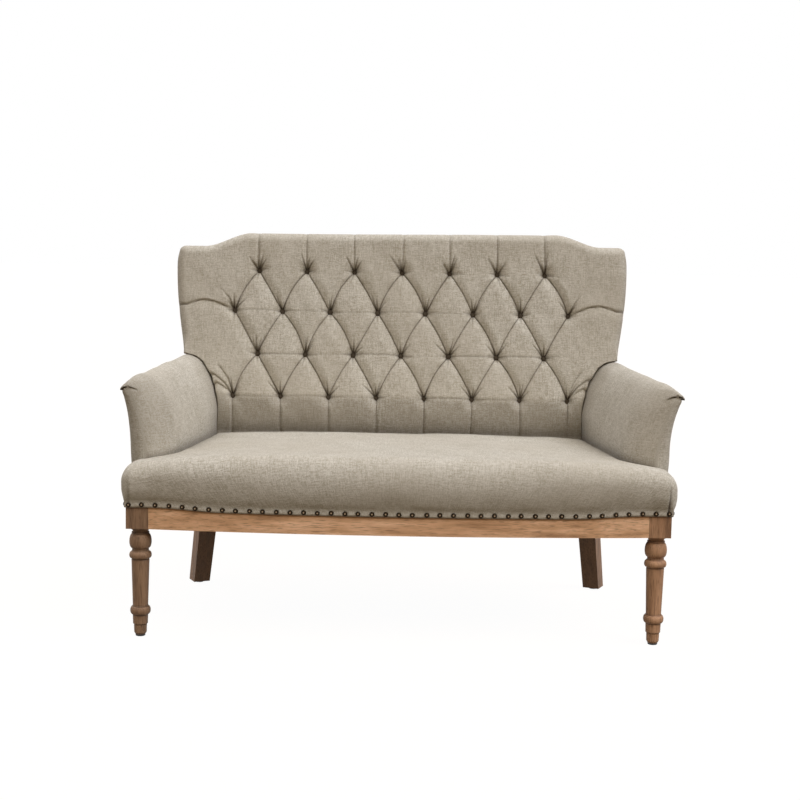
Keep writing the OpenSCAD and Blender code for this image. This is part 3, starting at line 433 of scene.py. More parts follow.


# the brown of the painted shade in the cloth's folds, tucks and crevices
PAINTED_SHADE_BROWN = (0.072, 0.055, 0.038)
LINEN = linen("linen", (0.605, 0.572, 0.498), (0.375, 0.338, 0.265), (0.45, 0.405, 0.325))
# the covered buttons' linen, painted near black for the shade in their pits
BUTTON_LINEN_PAINTED_SHADE = plain("button_linen_painted_shade", (0.085, 0.066, 0.046), (0.042, 0.032, 0.022), 620.0, share=0.7, bump=0.5,
                     Roughness=0.95)
BEECH = oak("beech", (0.62, 0.48, 0.33), (0.55, 0.42, 0.28), (0.42, 0.30, 0.19), "X")
# the nail heads: dark brown, black, and the colour of the highlight painted on their domes
BRONZE = bronze_with_painted_highlight("antique_bronze", (0.030, 0.019, 0.011), (0.008, 0.006, 0.004), (0.48, 0.34, 0.21))
FOAM = plain("foam", (0.78, 0.70, 0.48), (0.62, 0.54, 0.34), 700.0, bump=0.6, Roughness=0.95)
LEG_GROOVES = [(30.2, 2.5), (52.2, 3.0), (74.0, 4.0), (188.0, 3.0), (210.0, 4.0), (252.0, 3.5)]
NODE_FINISH = {
    # the front legs: lit and shaded copies of one oak, painted darker on the left leg and lighter on the
    # right, as the light falls from the right
    "front_leg_left": oak("oak_turned_left_painted_shade", (0.32, 0.195, 0.112), (0.235, 0.137, 0.076),
                          (0.115, 0.066, 0.037), "Z", LEG_GROOVES),
    "front_leg_right": oak("oak_turned_right_painted_light", (0.54, 0.31, 0.175), (0.41, 0.225, 0.12),
                           (0.22, 0.115, 0.06), "Z", LEG_GROOVES),
    "rear_leg": oak("oak_dark", (0.405, 0.25, 0.155), (0.297, 0.176, 0.108), (0.162, 0.095, 0.054), "Z"),
    "front_rail": oak("oak_rail", (0.90, 0.57, 0.35), (0.68, 0.395, 0.215), (0.40, 0.215, 0.105), "X"),
    "side_rail": oak("oak_side_rail", (0.66, 0.41, 0.24), (0.52, 0.30, 0.165), (0.33, 0.175, 0.09), "Y"),
    "rear_rail": oak("oak_rear_rail", (0.62, 0.385, 0.225), (0.49, 0.285, 0.155), (0.31, 0.165, 0.085), "X"),
    "leg_glides": plain("black_nylon", (0.012, 0.012, 0.013), (0.03, 0.03, 0.03), 260.0, Roughness=0.55),
    "leg_bolts": plain("zinc_steel", (0.55, 0.55, 0.56), (0.4, 0.4, 0.41), 300.0, Metallic=1.0,
                       Roughness=0.35),
    "seat_webbing": plain("jute_webbing", (0.30, 0.22, 0.13), (0.16, 0.11, 0.06), 60.0, (6, 6, 1),
                          Roughness=0.9),
    "tuft_ties": plain("button_twine", (0.62, 0.56, 0.44), (0.4, 0.35, 0.26), 500.0, Roughness=0.85),
    "dust_cover": plain("dust_cloth", (0.018, 0.018, 0.02), (0.04, 0.04, 0.045), 900.0, Roughness=0.95),
    "nail_trim": BRONZE, "seat_foam": FOAM, "back_foam": FOAM, "arm_foam": FOAM,
}
for node_name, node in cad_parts.items():
    node_finish = next((f for start, f in NODE_FINISH.items() if node_name.startswith(start)), BEECH)
    if "cover" in node_name and node_name != "dust_cover":
        node_finish = LINEN
    if not node.material_slots:
        node.data.materials.append(node_finish)
    for node_slot in node.material_slots:
        node_slot.material = node_finish


# The arms: each point of a section holds its place across the arm and its height, in front and at the rear
ARM_SHARES = np.array([
    (0, 0, 0, 0), (-0.064, 0.31, 0, 0.28), (-0.08, 0.52, 0, 0.48), (-0.115, 0.69, -0.01, 0.64),
    (-0.18, 0.815, -0.03, 0.8), (-0.25, 0.88, -0.05, 0.91), (-0.18, 0.93, -0.04, 0.955),
    (-0.06, 0.975, 0.02, 0.985), (0.08, 1, 0.13, 1), (0.31, 0.98, 0.34, 0.985), (0.53, 0.91, 0.56, 0.94),
    (0.74, 0.78, 0.83, 0.8), (0.88, 0.62, 0.98, 0.65), (0.96, 0.45, 1.03, 0.55), (0.99, 0.34, 1, 0.38),
    (1, 0, 1, 0)])
INSIDE_SHARES = ARM_SHARES[:7:-1]  # the inner skin, from its foot up
ARM_STEPS, NOSE_SECTIONS, LONG_SECTIONS = 12, 44, 56
TIP, INNER = 5 * ARM_STEPS, 10 * ARM_STEPS  # the flared lip, and where the top turns down inside
NOSE_FROM, NOSE_CROWD = 8.0, 1.25  # degrees round the nose before its first section, and how they crowd
LOW_ROUND, ROUND_FROM, ROUND_RUN = 5.0, SEAT_TOP - 105, 45.0  # nearly square behind the seat's ear
TIP_SHARP, BELOW_TIP, PAST_TIP = 0.6, 30, 14  # less round at the tip, and over how many places
PLEAT_SECTION, PLEAT_PATH = 24, ((4, -4), (-6, 6), (-16, 9), (-28, 6), (-40, 0))
# painted shade where the arm's inside meets the seat and the back: its strength and reach at each
SEAT_SHADE, SEAT_SHADE_REACH, BACK_SHADE, BACK_SHADE_REACH = 0.5, 14.0, 0.34, 34.0
ARM_RIPPLE, RIPPLE_EDGE = 0.9, 18
PLEAT_BACK, PLEAT_FADE = 10, 20  # how far in front of the nose's end the pleat stops, and its fading
# its lip's height and half width above its line, the lip's reach below, and the half width of its painted
# shade line
LIP_ABOVE, LIP_HALF, LIP_REACH, PLEAT_LINE = 0.4, 8, 7, 2.4
# left and right differ a little
FLARE_GROWTH = {-1: 1.0, 1: 1.3}
NOSE_ROUND = {-1: 45.0, 1: 38.0}
PLEAT_LIP = {-1: 4.0, 1: 6.0}
# painted shade over the front of the left arm's nose, which is turned away from the light
NOSE_PAINTED_SHADE = {-1: 0.14, 1: 0.0}


def arm_in(y, z):
    """The arm's inner skin, or a far value above the arm."""
    t = limit((y - NOSE_END) / (frame_y(z) - NOSE_END))
    h = (z - RAIL_TOP) / (lerp(ARM_FRONT_TOP, ARM_REAR_TOP, t) - RAIL_TOP)
    front, front_h, rear, rear_h = INSIDE_SHARES.T
    u = lerp(np.interp(h, front_h, front), np.interp(h, rear_h, rear), t)
    return np.where(h > 1, FAR, side_x(y) + ARM_OUT - ARM_T * u)


def spline(points, steps):
    """A smooth curve through points, with steps places in each stretch."""
    p = np.vstack([points[:1], points, points[-1:]])
    t = (np.arange(steps) / steps)[:, None]
    out = []
    for i in range(1, len(p) - 2):
        a, b, c, d = p[i - 1:i + 3]
        out.append(0.5 * (2 * b + (c - a) * t + (2 * a - 5 * b + 4 * c - d) * t ** 2
                          + (3 * b - a - 3 * c + d) * t ** 3))
    return np.vstack(out + [points[-1:]])


def near_path(points, path):
    """For each point its distance to a path, how far along the path that is from 0 to 1, and the place."""
    best = np.full(len(points), FAR)
    along = np.zeros(len(points))
    nearest = np.zeros_like(points)
    steps = len(path) - 1
    for k in range(steps):
        a, d = path[k], path[k + 1] - path[k]
        u = limit(((points - a) @ d) / max(d @ d, 1e-9))
        spot = a + u[:, None] * d
        far = np.linalg.norm(points - spot, axis=1)
        closer = far < best
        best[closer] = far[closer]
        along[closer] = (k + u[closer]) / steps
        nearest[closer] = spot[closer]
    return best, along, nearest


def outward_normals(skin):
    """Normals of a grid of points, away from its core."""
    normals = unit(np.cross(np.gradient(skin, axis=1), np.gradient(skin, axis=0)))
    away = np.sum(normals * (skin - skin.mean(1, keepdims=True))) > 0
    return normals if away else -normals


def arm_skin(side):
    """Sections of the arm, first round its nose and then back, each from its hem over to its inner foot."""
    shares = spline(ARM_SHARES, ARM_STEPS)
    order = np.arange(len(shares))
    flare = lerp(1.0, FLARE_GROWTH[side], ramp(shares[:, 1], 0.6, 0.25))
    shares[:, 0] *= np.where(shares[:, 0] < 0, flare, 1.0)
    sharp = TIP_SHARP * bell(order - TIP, np.where(order < TIP, BELOW_TIP, PAST_TIP))
    angles = np.radians(lerp(NOSE_FROM, 90.0, np.linspace(0, 1, NOSE_SECTIONS) ** NOSE_CROWD))
    sections = [(a, 0.0) for a in angles]
    sections += [(math.pi / 2, k / LONG_SECTIONS) for k in range(1, LONG_SECTIONS + 1)]
    rows = []
    for angle, t in sections:
        q, nose = math.sin(angle), t == 0
        ridge = lerp(ARM_FRONT_TOP, ARM_REAR_TOP, t)
        z = RAIL_TOP + (ridge - RAIL_TOP) * lerp(shares[:, 1], shares[:, 3], t)
        y = lerp(NOSE_END, frame_y(z) - GAP, t)
        x = side_x(y) + ARM_OUT - ARM_T * lerp(shares[:, 0], shares[:, 2], t)
        z[0] = RAIL_TOP + GAP if angle == angles[0] else RAIL_TOP - HEM_LAP_END
        z[-1] = DECK_Z + GAP
        r = lerp(LOW_ROUND, NOSE_ROUND[side], ramp(z, ROUND_FROM, ROUND_RUN)) * (1 - sharp)
        apex = x - r
        if nose:
            room = r - np.minimum(r, ARM_NOSE * (math.cos(angles[0]) - math.cos(angle)))
            x = x - round_off(room, r) * (order <= TIP)
        over = lerp(x[TIP], apex[TIP], ramp(order, TIP, (INNER - TIP) / 2))
        ref = np.where(order <= INNER, over, apex[::-1])
        x = np.where(order > TIP, lerp(ref, x, q), x)
        z = np.where(z > z[TIP], lerp(z[TIP], z, math.sqrt(q)), z)
        if nose:
            y = NOSE_END - ARM_NOSE * math.cos(angle)
            x = x + side_x(y) - side_x(NOSE_END)
        rows.append(joined(x, y, z))
    return np.array(rows)


def arm_pleat(side, skin):
    """The height and painted shade of the pleat at the arm's front top corner, and the left nose's painted
    shade.
    """
    flat = skin.reshape(-1, 3)
    far, along, nearest = near_path(flat[:, [0, 2]], skin[PLEAT_SECTION, TIP, [0, 2]] + PLEAT_PATH)
    front = limit((NOSE_END - PLEAT_BACK - flat[:, 1]) / PLEAT_FADE)
    above = flat[:, 2] > nearest[:, 1]
    strength = PLEAT_LIP[side] * (1 - along) ** 0.5 * front
    lip = np.where(above, LIP_ABOVE * bell(far, LIP_HALF), -fading(far, LIP_REACH)) * strength
    shade = bell(far, PLEAT_LINE) * (1 - along) ** 0.3 * front
    return lip, np.maximum(shade, NOSE_PAINTED_SHADE[side] * front)


def make_arm(side):
    """side is 1 for the right arm and -1 for the left."""
    skin = arm_skin(side)
    m, width = skin.shape[:2]
    flat = skin.reshape(-1, 3)
    order = np.tile(np.arange(width), m)
    lip, shade = arm_pleat(side, skin)
    # painted shade where the inside meets the seat and the back
    to_seat = flat[:, 2] - seat_z(flat[:, 0], flat[:, 1])
    to_back = crest_y(flat[:, 2]) - flat[:, 1]
    low_shade = SEAT_SHADE * fading(to_seat - 2, SEAT_SHADE_REACH) * (order > INNER)
    rear_shade = BACK_SHADE * fading(to_back, BACK_SHADE_REACH) * (order > TIP)
    shade = np.maximum(shade, low_shade + rear_shade - low_shade * rear_shade)
    # gentle unevenness, with none along the edges
    length = run_along(skin).ravel()
    arc = np.tile(run_along(skin[NOSE_SECTIONS + 8]), m)
    edge = limit(np.minimum(order, width - 1 - order) / RIPPLE_EDGE)
    soft = ARM_RIPPLE * ripple(length, arc, size=120.0, seed=5 + side) * edge
    flat = flat + outward_normals(skin).reshape(-1, 3) * (soft + lip)[:, None]
    # the hem turns under and runs back to the tuck line, and both ends close
    first = m * width
    hem_out = np.arange(m) * width
    turn = flat[hem_out] - [COVER_T, 0, 0]
    lifted = turn.copy()
    lifted[:, 2] = RAIL_TOP + 2 * GAP
    points = np.vstack([flat, turn, lifted])
    a, b = first + np.arange(m), first + m + np.arange(m)
    lines = (hem_out, a, b, hem_out + width - 1)
    cap = np.arange(TIP)
    faces = [grid_quads(width, m)] + [band(p, q, False) for p, q in zip(lines, lines[1:])]
    faces += [joined(cap, cap + 1, width - 2 - cap, width - 1 - cap), [[0, width - 1, b[0], a[0]]]]
    for ring in (np.arange(TIP, INNER + 1), np.r_[hem_out[-1] + np.arange(width), b[-1], a[-1]]):
        faces.append(fan(ring, len(points)))
        points = np.vstack([points, points[ring].mean(0)])
    points[:, 0] *= side
    uv = np.zeros((len(points), 2))
    uv[:first] = joined(length, arc)
    uv[first:first + 2 * m, 0] = np.tile(length[hem_out], 2)
    shades = np.zeros(len(points))
    shades[:first] = shade
    end = "left" if side < 0 else "right"
    add_cover("arm_" + end + "_upholstery", points, faces, ["arm_cover_" + end, "arm_foam_" + end], uv,
              shades)


# The seat: its rows run first in front of the arms, then round their noses, then between them to the back
EAR, NOSE, REAR = range(3)
EAR_ROWS, NOSE_ROWS, REAR_ROWS, SEAT_COLS = 12, 22, 40, 301
ROW_KIND = np.repeat([EAR, NOSE, REAR], [EAR_ROWS, NOSE_ROWS, REAR_ROWS])
ROW_SHARE = np.concatenate([np.linspace(0, 1, EAR_ROWS), np.arange(1, NOSE_ROWS + 1) / NOSE_ROWS,
                            np.arange(1, REAR_ROWS + 1) / REAR_ROWS])
ROLL_ANGLES = np.radians(np.linspace(7.5, 90, 12))
TUCK_ROLL = SEAT_ROLL / 3
SEAT_MIDDLE = (0.0, 260.0, DECK_Z + GAP)
BORDER_RUN = 70.0  # cloth from the seat's roll down to the nails
SEAT_CROWD, BORDER_CURVE = 1.4, 2.1  # how its points crowd at the sides, and how its border draws in
SEAT_UNEVEN, SEAT_RIPPLES, BORDER_RIPPLES = 0.8, ((1.3, 190.0, 11), (0.5, 70.0, 12)), ((0.8, 110.0, 21),)
NAIL_PULL, PULL_FROM, RIPPLE_TO = 0.27, 17, 20  # with the loops where the pull starts and the ripple ends
# the corner pleats: the loops over which they grow, their place, depth and strength, how far they reach in
# front of and behind their edge, the hollow behind it, and the painted shade line along it
PLEAT_FROM, PLEAT_GROW, PLEAT_Y = 6, 12, 12
PLEAT_INSET, PLEAT_DEEP, PLEAT_LEFT, PLEAT_RIGHT = 19.0, 3.6, 0.6, 1.4
PLEAT_STEEP, PLEAT_EASE, HOLLOW, HOLLOW_HALF, PLEAT_SHADE, PLEAT_SHADE_HALF = 4, 10, 2.0, 5, 0.7, 2.6
EAR_FROM, EAR_RUN = 560.0, 90.0  # where the front's swell lessens towards the ears
FRONT_ROLL, FRONT_ROLL_LESS, LESS_FROM, LESS_RUN = 1.5, 0.45, 200.0, 330.0  # fuller in the middle
# painted shade along the seat's tucks against the arms' noses, their insides and the back
NOSE_TUCK_SHADE, SIDE_TUCK_SHADE, TUCK_SHADE = 0.35, 0.45, 0.42
REAR_NEAR, REAR_FADE, SIDE_NEAR, SIDE_FADE = 22, 12, 14, 16  # where that shade lessens, and its reach


def ear_half(e, swell):
    """Half width of the seat in front of the arms: e is 1 on its top and 0 down its border."""
    return HALF_W + ARM_OUT + np.minimum(swell, SEAT_SWELL) - SEAT_ROLL * e


def ear_front(x, e, swell):
    small = np.minimum(swell, SEAT_SWELL)
    r = np.maximum(small / SEAT_SWELL * SEAT_CORNER_R, 1e-6)
    past = np.clip(np.abs(x) - ear_half(e, swell) + r, 0, r)
    full = lerp(swell, small, ramp(np.abs(x), EAR_FROM, EAR_RUN))
    return front_y(x) - ARM_OUT - full + SEAT_ROLL * e + round_off(past, r)


def rear_limit(z, e):
    return crest_y(z) + SEAT_TUCK - TUCK_GAP - TUCK_ROLL * e


def seat_xy(u, row, e, swell):
    kind, share = ROW_KIND[row], ROW_SHARE[row]
    t = TUCK_GAP + TUCK_ROLL * e
    nose = share * math.pi / 2
    y_nose = NOSE_END - (ARM_NOSE + t) * np.cos(nose)
    y_rear = lerp(NOSE_END, rear_limit(SEAT_TOP - SEAT_ROLL, e), share)
    ear = ear_half(e, swell)
    by_nose = side_x(y_nose) + ARM_OUT - (ARM_T + t) * np.sin(nose)
    half = np.choose(kind, [ear, np.minimum(by_nose, ear), side_x(y_rear) + ARM_OUT - ARM_T - t])
    x = half * np.sign(u) * (1 - (1 - np.abs(u)) ** SEAT_CROWD)
    y_ear = lerp(ear_front(x, e, swell), NOSE_END - ARM_NOSE - t, share)
    return x, np.choose(kind, [y_ear, y_nose, y_rear])


def make_seat():
    u = np.linspace(-1, 1, SEAT_COLS)
    n, m = SEAT_COLS, len(ROW_KIND)
    x, y = seat_xy(u, np.arange(m)[:, None], 1.0, SEAT_FULL)
    z = seat_z(x, y)
    y = np.minimum(y, rear_limit(z, 1.0))
    z = z + SEAT_UNEVEN * uneven(x, y, SEAT_RIPPLES)
    top = joined(x, y, z).reshape(-1, 3)
    rim = rim_ids(n, m)
    rim_row, rim_u = rim // n, u[rim % n]
    kind, share = ROW_KIND[rim_row], ROW_SHARE[rim_row]
    rim_x, _, rim_z = top[rim].T

    def loop_at(e, swell, height):
        across, depth = seat_xy(rim_u, rim_row, e, swell)
        return joined(across, np.minimum(depth, rear_limit(height, e)), height)

    # over the roll, down the border, and over the nailed hem
    front_roll = SEAT_ROLL * (FRONT_ROLL - FRONT_ROLL_LESS * ramp(np.abs(rim_x), LESS_FROM, LESS_RUN))
    roll = np.choose(kind, [front_roll, lerp(SEAT_ROLL, TUCK_ROLL, ramp(share, 0, 0.5)), TUCK_ROLL])
    loops = [loop_at(1 - math.sin(a), SEAT_FULL, rim_z - roll * (1 - math.cos(a))) for a in ROLL_ANGLES]
    grown = list(SEAT_ROLL * ROLL_ANGLES)
    hangs = (kind == EAR) & (share < 1)
    low = np.where(hangs, hem_z(loops[-1][:, 0]), DECK_Z + GAP)
    nail_line = low + 2 * NAIL_INSET * hangs
    full = loops[-1][:, 2]
    for t in np.linspace(0.1, 1, 10):
        loops.append(loop_at(0.0, SEAT_FULL * (1 - t ** BORDER_CURVE), lerp(full, nail_line, t)))
        grown.append(SEAT_ROLL * math.pi / 2 + BORDER_RUN * t)
    for lift in (0.66, 0.33, 0.0):
        loops.append(loop_at(0.0, 0.0, lerp(low, nail_line, lift)))
        grown.append(SEAT_ROLL * math.pi / 2 + BORDER_RUN + 2 * NAIL_INSET * (1 - lift))
    # the corner pleats and their painted shade line, the light pull of the nails on the cloth, and painted
    # shade along the tucks
    dim = np.choose(kind, [0.0, NOSE_TUCK_SHADE, SIDE_TUCK_SHADE])
    to_side = side_x(y) + ARM_OUT - ARM_T - TUCK_GAP - np.abs(x)
    to_rear = rear_limit(z, 0.0) - y
    near = fading(to_rear - REAR_NEAR, REAR_FADE) + fading(to_side - SIDE_NEAR, SIDE_FADE) * (y > NOSE_END)
    shades = [TUCK_SHADE * limit(near).ravel()]
    for k, loop in enumerate(loops):
        loop_x, loop_y, loop_z = loop.T
        down = limit((k - PLEAT_FROM) / PLEAT_GROW) * hangs
        corner = ear_half(0, SEAT_SWELL) - PLEAT_INSET - np.abs(loop_x)
        hold = down * (loop_y < PLEAT_Y) * np.where(loop_x > 0, PLEAT_RIGHT, PLEAT_LEFT)
        behind = PLEAT_DEEP * bell(corner, PLEAT_EASE) - HOLLOW * bell(corner + HOLLOW_HALF, HOLLOW_HALF)
        pleat = np.where(corner > 0, PLEAT_DEEP * fading(corner, PLEAT_STEEP), behind)
        pull = NAIL_PULL * (1 - np.cos(2 * math.pi * loop_x / NAIL_PITCH)) * (k > PULL_FROM)
        wave = uneven(loop_x + loop_y, loop_z, BORDER_RIPPLES) * down * (k < RIPPLE_TO)
        shades.append(dim + hold * PLEAT_SHADE * bell(corner, PLEAT_SHADE_HALF))
        loop -= unit((loop - SEAT_MIDDLE) * [1, 1, 0]) * (hold * (pleat - pull) + wave)[:, None]
    under = loops[-1].copy()
    under[:, 0] -= COVER_T * hangs * np.sign(under[:, 0]) * (np.abs(under[:, 0]) > RAIL_HALF + 40)
    under[:, 1] += COVER_T * (hangs & (rim_row == 0))
    lifted = under.copy()
    lifted[:, 2] = np.maximum(lifted[:, 2], RAIL_TOP + 2 * GAP)
    loops += [under, lifted]
    shades += [dim, dim, [0.0]]
    grown += [grown[-1] + 3, grown[-1] + 6]
    points = np.vstack([top] + loops + [SEAT_MIDDLE])
    faces = [grid_quads(n, m)] + skirt(rim, n * m, len(loops))
    way = unit((loops[len(ROLL_ANGLES) - 1] - top[rim])[:, :2])
    uv = [top[:, :2]] + [top[rim, :2] + way * reach for reach in grown] + [SEAT_MIDDLE[:2]]
    add_cover("seat_upholstery", points, faces, ["seat_cover", "seat_foam"], np.vstack(uv),
              np.concatenate(shades))


# The back: outline and tufts
WIDE_V = 0.866 * BACK_V
PAD_LOW_V = (DECK_Z - RAIL_TOP + TUCK_GAP) / LEAN_C
ROW_V = [lerp(v_of(TUFT_LOW, BUTTON_W), v_of(TUFT_HIGH, BUTTON_W), s) for s in (0, 0.337, 0.678, 1)]
WIDE_N = 8
LAST_X = (WIDE_N - 1) / 2 * PITCH
BUTTONS = [((k - (WIDE_N - r % 2 - 1) / 2) * PITCH, ROW_V[r], r)
           for r in range(4) for k in range(WIDE_N - r % 2)]
DEPTH = PAD_T - BUTTON_SEAT
FOLD_POWER = 3.5  # how sharply folds that cross give way to the deepest one
# the folds' slope, the reach of their bow, the half width of their groove, and that of its painted shade line
SLOPE_POWER, BOW_REACH, LINE_HALF, DARK_HALF = 2.1, 46.0, 2.7, 2.0
PIT_FLAT, PIT_REACH, PIT_POWER = 2.5, 5.0, 1.6  # the cloth's fall into a button's pit
SHOULDER_EASE = 60.0  # how far from a corner the roll's points start to turn towards it
FINE, EDGE_COLS, LOW_ROWS, TOP_ROWS = 36, 30, 44, 20
# how far the pad draws back at the seat, from how far above the lowest buttons, how sharply and the most
LOW_DRAW, LOW_DRAW_UP, LOW_DRAW_POWER, LOW_DRAW_MOST = 24.0, 8, 1.5, 1.05
# painted shade over the low band above the seat
LOW_DIM, LOW_DIM_RUN, LOW_DARK = 0.27, 0.25, 0.28  # the shade there, at its start and towards the seat
# painted shade round each button, for the shade in its pit: how dark, and how far it reaches
BUTTON_SHADE, BUTTON_SHADE_REACH = 0.9, 6.5
SLOPE_TURN = 1.5  # how wide the bottom of a fold is, where one slope gives way to the other
TAPER, DARK_START = 5, 4.4  # how soon a fold that runs out thins, and how wide its dark line starts
BACK_UNEVEN, BACK_RIPPLES = 0.8, ((0.8, 90.0, 31), (0.3, 34.0, 32))
ROLL_EASE, ROLL_CLOTH = 0.6, 30  # how much dips and shade lessen over the roll, and its cloth per radian
STEP_FROM, STEP_TO = 0.88, 0.67  # shares of half the shoulders' width between which the crest steps up
ABOVE_ARMS = 40  # how much further the roll may reach to the sides above the arms

# A fold from a to b: its depth at both ends and between them, how far its slopes reach on either side, its
# bow, the depth of the line along its bottom and the painted shade in it, how soon its ends level out, and
# how late its bow peaks
Crease = namedtuple("Crease", "a b ends mid wide bow groove dark fade late",
                    defaults=(0.0, 0.0, 0.0, 20.0, 1.0))


def back_half(v):
    high = SHOULDER_W / 2
    base = side_x(BACK_Y0) + ARM_OUT
    rise = base + (high - base) * np.sin(math.pi / 2 * limit((v - ARM_V) / (WIDE_V - ARM_V)))
    turn = high - SHOULDER_TURN * (np.maximum(0, v - WIDE_V) / (SHOULDER_V - WIDE_V)) ** 2
    return np.where(v < ARM_V, base, np.where(v < WIDE_V, rise, turn))


def top_v(x):
    return SHOULDER_V + DROP_V * ramp(np.abs(x) / (SHOULDER_W / 2), STEP_FROM, STEP_TO - STEP_FROM)


CORNER_V = SHOULDER_V - SHOULDER_R
CORNER_X = float(back_half(CORNER_V)) - SHOULDER_R


def edge_half(v):
    """Half width of the padding at its front, close against the arms and then over them."""
    z = RAIL_TOP + v * LEAN_C + SEAM_W * LEAN_S
    y = BACK_Y0 + v * LEAN_S - SEAM_W * LEAN_C
    return np.minimum(back_half(v), arm_in(y, z - TUCK_GAP) - SEAM_GAP)


def edge_roll(v):
    return lerp(SEAM_ROLL, PAD_ROLL, ramp(v, ARM_V, 45))


def tuft_creases():
    """Every fold of the back."""
    draw = np.random.default_rng(7)
    # the diamonds
    for x, v, r in BUTTONS:
        for x2, v2, r2 in BUTTONS:
            if r2 != r + 1 or abs(abs(x2 - x) - PITCH / 2) > 1:
                continue
            strong = draw.random() < (0.75 if (x2 > x) == (x + x2 < 0) else 0.35)
            bow = draw.uniform(3, 9) if strong else draw.uniform(0, 3)
            yield Crease((x, v), (x2, v2), (20, 20), draw.uniform(6.5, 9.5), (34, 46), bow,
                         draw.uniform(3.6, 5.0), draw.uniform(0.78, 1.05), 15.0)
    # over the crest, and down behind the seat
    for x, v, r in BUTTONS:
        if r == 3:
            yield Crease((x, v), (x + draw.uniform(-4, 4), BACK_V + 60), (13, 2.0), 3.2, (8, 20),
                         draw.uniform(-2, 2), 1.8, draw.uniform(0.5, 0.75))
            if draw.random() < 0.6:
                x_new = x + draw.uniform(5, 8) * draw.choice((-1, 1))
                yield Crease((x, v), (x_new, BACK_V + 60), (8, 0.5), 1.0, (6, 10), 0.0, 0.7, 0.22)
        if r == 0:
            yield Crease((x, v), (x + draw.uniform(-4, 4), -30), (14, 3.5), 4.0, (12, 24),
                         draw.uniform(-2, 2), 2.4, draw.uniform(0.65, 0.9))
    # level creases between neighbours of a row, deepest near the buttons
    for x, v, r in BUTTONS:
        if abs(x + PITCH) > LAST_X + 1 - (r % 2) * PITCH / 2 or r == 3:
            continue
        level = draw.uniform(0.1, 1.0) if r < 2 else draw.uniform(0, 0.6)
        yield Crease((x, v), (x + PITCH, v), (9, 9), 1.5 * level, (10, 12), draw.uniform(-3, 2),
                     1.5 * level, 0.6 * level, 12.0)
    # from the last buttons to the sides
    seam_v = ROW_V[2] + 12
    seam_end = float(edge_half(seam_v) - edge_roll(seam_v))
    for side in (-1, 1):
        low, high = (side * LAST_X, ROW_V[0]), (side * LAST_X, ROW_V[2])
        yield Crease(high, (side * seam_end, seam_v), (15, 3.0), 4.0, (12, 30), 16, 1.6, 0.85, late=1.3)
        yield Crease(high, (side * seam_end, seam_v), (15, 3.0), 1.5, (12, 30), 3, 1.6, 0.3, late=1.3)
        for dx, dv, mid in ((96, 56, 5.0), (70, 66, 3.5), (34, 74, 2.5)):
            yield Crease(low, (side * (LAST_X + dx), ROW_V[0] + dv), (14, 3), mid, (10, 22), 4, 1.6, 0.35)
        yield Crease(high, (side * (LAST_X + 40), ROW_V[2] + 62), (12, 0), 2.0, (8, 16), 3, 1.0, 0.25)
    # puckers that stand up from each button, and short ones to its sides
    for x, v, r in BUTTONS:
        angles = (52, 66, 80, 96, 110, 126) if r == 3 else (44, 60, 78, 95, 114, 136)
        angles = [angles[k] for k in sorted(draw.choice(6, draw.integers(3, 6), replace=False))]
        for angle in angles + [draw.uniform(-10, 8), 180 + draw.uniform(-8, 10), draw.uniform(-100, -80)]:
            tall = 20 < angle < 160
            reach = draw.uniform(30, 58) if tall else draw.uniform(24, 44)
            turn = math.radians(angle + draw.uniform(-6, 6))
            yield Crease((x, v), (x + reach * math.cos(turn), v + reach * math.sin(turn)), (14, 0), 2.4,
                         (4.5, 7), 0.0, 2.9 if tall else 1.6, 1.4 if tall else 0.85, 9.0)


def sunk(x, v):
    """Over the flat pad: how far the cloth lies below the crown, its sideways shift, and its painted shade.
    """
    shape = x.shape
    x, v = x.ravel(), v.ravel()
    total, groove, shade, dx, dv = np.zeros((5, x.size))
    for f in tuft_creases():
        (ax, av), (bx, bv) = f.a, f.b
        room = max(f.wide) + 12
        at = np.nonzero((x > min(ax, bx) - room) & (x < max(ax, bx) + room)
                        & (v > min(av, bv) - room) & (v < max(av, bv) + room))[0]
        px, pv = x[at] - ax, v[at] - av
        length = math.hypot(bx - ax, bv - av)
        ux, uv = (bx - ax) / length, (bv - av) / length
        nx, nv = (-uv, ux) if ux > 0 else (uv, -ux)
        along = px * ux + pv * uv
        t = limit(along / length)
        d = px * nx + pv * nv
        past = along - t * length
        far = np.hypot(d, past)
        depth = (f.mid + (f.ends[0] - f.mid) * fading(t * length, f.fade)
                 + (f.ends[1] - f.mid) * fading((1 - t) * length, f.fade))
        above, below = [limit(1 - far / wide) for wide in f.wide]
        slope = lerp(below, above, limit(d / SLOPE_TURN + 0.5)) ** SLOPE_POWER
        total[at] += np.maximum(0, depth * slope) ** FOLD_POWER
        # a fold that runs out thins as it goes, and the painted shade along one between buttons is palest
        # halfway
        if f.ends[1] < 1:
            taper, dark, line = limit((1 - t) * TAPER), 1 - t, lerp(DARK_START, DARK_HALF, t)
        else:
            taper, dark, line = 1.0, 0.55 + 0.45 * np.abs(2 * t - 1) ** 1.5, DARK_HALF
        groove[at] = np.maximum(groove[at], f.groove * taper * limit(1 - far / LINE_HALF))
        shade[at] = np.maximum(shade[at], f.dark * dark * limit(1 - far / line))
        push = f.bow * np.sin(math.pi * t ** f.late) * limit(1 - np.abs(d) / BOW_REACH) ** 1.5
        push *= np.abs(past) < 1e-6
        dx[at] += nx * push
        dv[at] += nv * push
    # each button's pit, and painted shade round it
    for bx, bv, _ in BUTTONS:
        r = np.hypot(x - bx, v - bv)
        total += (DEPTH / (1 + (np.maximum(0, r - PIT_FLAT) / PIT_REACH) ** PIT_POWER)) ** FOLD_POWER
        shade = np.maximum(shade, BUTTON_SHADE * bell(r, BUTTON_SHADE_REACH))
    depth = np.minimum(total ** (1 / FOLD_POWER) + groove, DEPTH)
    return [part.reshape(shape) for part in (depth, dx, dv, shade)]


